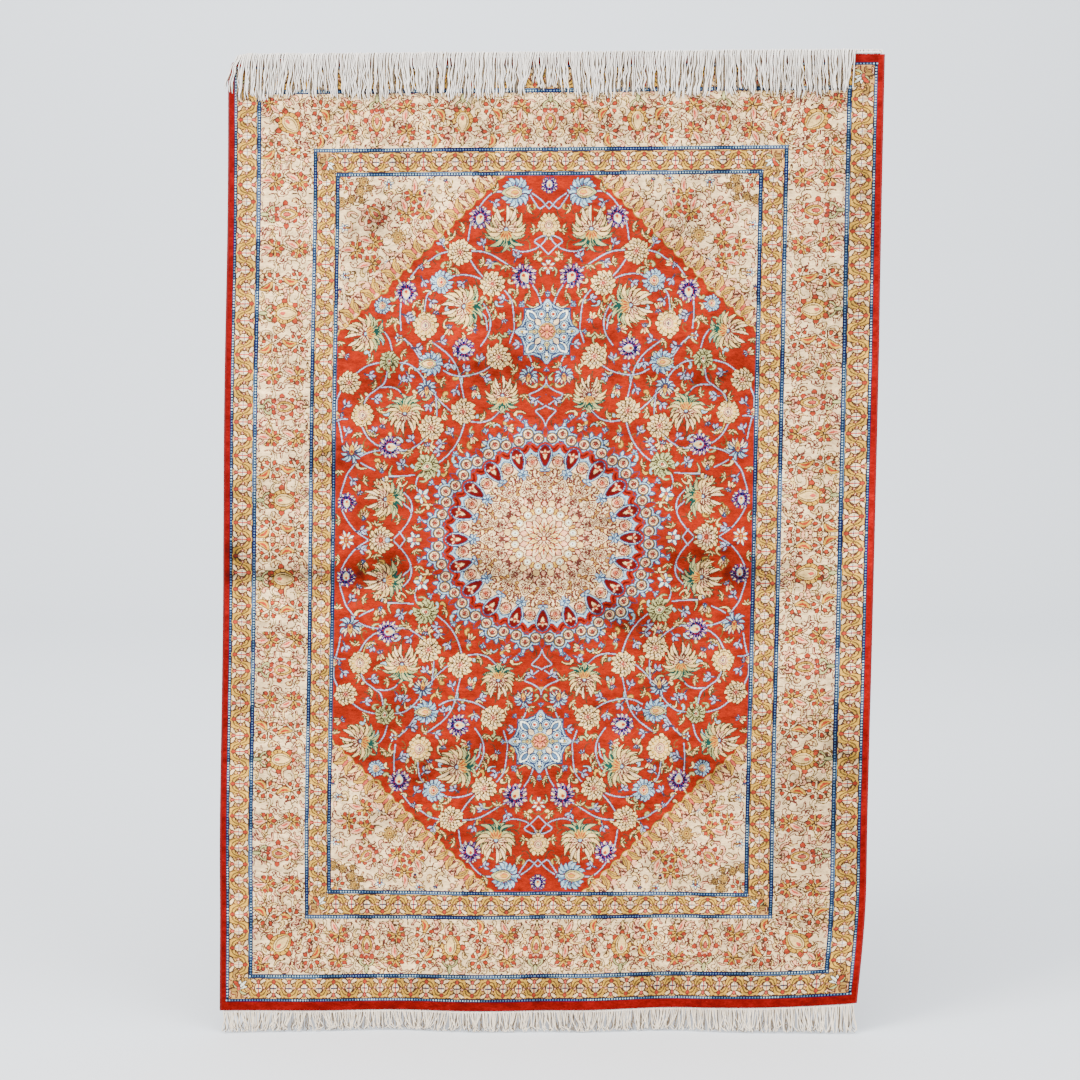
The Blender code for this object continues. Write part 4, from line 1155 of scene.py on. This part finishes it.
def bottomStrands(seed, near):
    b = bottomFringe
    chance = random.Random(seed)
    half = rug["width"] / 2 - b["inset"]
    edge = -rug["length"]
    for i in range(b["strands"]):
        x = -half + 2 * half * (i + chance.uniform(0.1, 0.9)) / b["strands"]
        rise = hang([(x, 0.0, edge)])[0][2] - edge
        drop = edge + rise - rug["floor"] - b["floorGap"] - abs(chance.gauss(0, b["uneven"]))
        tip = sway(x, chance, b["tipSpread"][near]) + gather(x, b["gatherEvery"])
        tip += b["flare"] * max(x - b["flareFrom"], 0)
        layer = -b["layer"] * near + chance.uniform(-0.0006, 0.0006)
        kick = chance.gauss(0, b["kick"])
        stations = [
            (x, layer * 0.4, edge - 0.0012), (x + 0.1 * tip, layer - 0.0008, edge - 0.2 * drop),
            (x + 0.4 * tip + 0.4 * kick, layer - 0.0018, edge - 0.55 * drop),
            (x + 0.8 * tip + kick, layer - 0.0036, edge - 0.86 * drop),
            (x + tip - 0.4 * kick, layer - 0.0050 - abs(chance.gauss(0, 0.001)), edge - drop),
        ]
        route = curve(stations, 2)
        yield route, [1.25, 1.1] + [1.0] * (len(route) - 4) + [0.9, 0.6]


def twining(height):  # two white yarns twined along the edge, round the warps
    half = rug["width"] / 2 - twine["inset"]
    for phase in (0, math.pi):
        route = []
        for i in range(twine["steps"] + 1):
            x = -half + 2 * half * i / twine["steps"]
            turn = 2 * math.pi * x / twine["every"] + phase
            route.append((x, twine["wide"] * math.cos(turn), height + twine["high"] * math.sin(turn)))
        yield route, [1.0] * len(route)


chart = rugChart()
print("chart", chart.shape)
pileGrid = {"columns": 232, "rows": 344}
pile = wovenSheet("pile", chart, -rug["thickness"] / 2, **pileGrid)
pile.data.materials.append(pileMaterial("pile", **pileGrid))
backGrid = {"columns": 116, "rows": 172}
back = wovenSheet("knottedBack", chart[::2, ::2], rug["thickness"] / 2, **backGrid)
# the back shares the pile's material, so it carries the same painted shade and highlights
back.data.materials.append(pileMaterial("knottedBack", **backGrid))
print("cloth", len(pile.data.polygons), len(back.data.polygons))
leftCord = sideCord("sideCordLeft", -1)
rightCord = sideCord("sideCordRight", 1)
print("side cords", len(leftCord.data.polygons))
whiteYarn = fringeMaterial("whiteYarn", (240, 234, 226), (196, 184, 170))
creamYarn = fringeMaterial("creamYarn", (250, 236, 214), (202, 180, 152))
shadedYarn = fringeMaterial("shadedYarn", (132, 116, 96), (62, 50, 38))
topTwining = yarnPiece("topTwining", twining(twine["offEdge"]), twine["radius"], whiteYarn)
lowEdge = -rug["length"] - twine["offEdge"]
bottomTwining = yarnPiece("bottomTwining", twining(lowEdge), twine["radius"], whiteYarn)
topTufts = yarnPiece("topTufts", topStrands(3, 1), topFringe["radius"], whiteYarn)
# the under strands take the shaded yarn: painted shade on the strands that lie behind the front ones
topShadedUnder = yarnPiece("topShadedUnder", topStrands(5, 0), topFringe["radius"], shadedYarn)
bottomTufts = yarnPiece("bottomTufts", bottomStrands(4, 1), bottomFringe["radius"], creamYarn)
bottomShadedUnder = yarnPiece("bottomShadedUnder", bottomStrands(6, 0), bottomFringe["radius"], shadedYarn)
print("fringes")

pieces = {
    pile: ("rug_body", "silk_pile"), back: (None, "silk_pile"),
    leftCord: ("selvedge_left", "selvedge_yarn"), rightCord: ("selvedge_right", "selvedge_yarn"),
    topTufts: ("fringe_top", "warp_fringe"), bottomTufts: ("fringe_bottom", "warp_fringe"),
    topShadedUnder: (None, "warp_fringe"), bottomShadedUnder: (None, "warp_fringe"),
    topTwining: (None, "warp_fringe"), bottomTwining: (None, "warp_fringe"),
}
for piece, (node, slot) in pieces.items():
    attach(piece, "root")
    if node:
        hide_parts(node)


backdrop = {
    "front": -7.0, "width": 24.0, "length": 20.0, "flat": 12.4, "bend": 2.5, "radius": 1.59, "below": 0.0006,
    "colour": (220, 223, 226), "roughness": 0.9, "specular": 0.5,
}


def studio():  # a pale floor that sweeps up into a far wall
    b = backdrop
    bm = bmesh.new()
    bmesh.ops.create_grid(bm, x_segments=1, y_segments=80, size=0.5)
    for vert in bm.verts:
        run = (vert.co.y + 0.5) * b["length"]
        bend = min(max((run - b["flat"]) / b["bend"], 0), 1) * math.pi / 2
        y = b["front"] + min(run, b["flat"]) + b["radius"] * math.sin(bend)
        z = b["radius"] * (1 - math.cos(bend)) + max(run - b["flat"] - b["bend"], 0)
        vert.co = (vert.co.x * b["width"], y, z + rug["floor"] - b["below"])
    for face in bm.faces:
        face.smooth = True
    floor = finishMesh("studio", bm)
    floor.data.materials.append(Nodes("studio").finish(linear(b["colour"]), b["roughness"], b["specular"]))


lamps = [  # name, place, aimed at, size, power, colour
    ("keyLight", (-2.6, -2.4, 1.6), (0.0, 0.0, -0.7), 1.6, 225, (1.0, 0.985, 0.96)),
    ("fillLight", (2.6, -3.4, 0.6), (0.0, 0.0, -0.8), 2.4, 112, (0.96, 0.98, 1.0)),
    ("topLight", (0.0, -1.2, 2.6), (0.0, 1.2, -0.9), 3.0, 215, (1.0, 1.0, 1.0)),
    ("wallLight", (-0.6, 2.4, 3.0), (-0.6, 6.6, 1.2), 2.4, 300, (0.98, 0.99, 1.0)),
]


def light(name, place, target, size, power, colour):
    data = bpy.data.lights.new(name, "AREA")
    data.size = size
    data.energy = power
    data.color = colour
    lamp = placed(name, data)
    lamp.location = place
    lamp.rotation_euler = (Vector(target) - Vector(place)).to_track_quat("-Z", "Y").to_euler()


sky = {"colour": (0.86, 0.9, 0.96, 1.0), "strength": 1.68}
viewpoint = {"lens": 84.7, "place": (-0.0255, -4.0, -0.3966), "down": 5.1}

studio()
for lamp in lamps:
    light(*lamp)
world = bpy.data.worlds.new("world")
world.use_nodes = True
world.node_tree.nodes["Background"].inputs["Color"].default_value = sky["colour"]
world.node_tree.nodes["Background"].inputs["Strength"].default_value = sky["strength"]
bpy.context.scene.world = world

camera = placed("camera", bpy.data.cameras.new("camera"))
camera.data.lens = viewpoint["lens"]
camera.location = viewpoint["place"]
camera.rotation_euler = (math.radians(90 - viewpoint["down"]), 0.0, 0.0)
bpy.context.scene.camera = camera
print("studio")
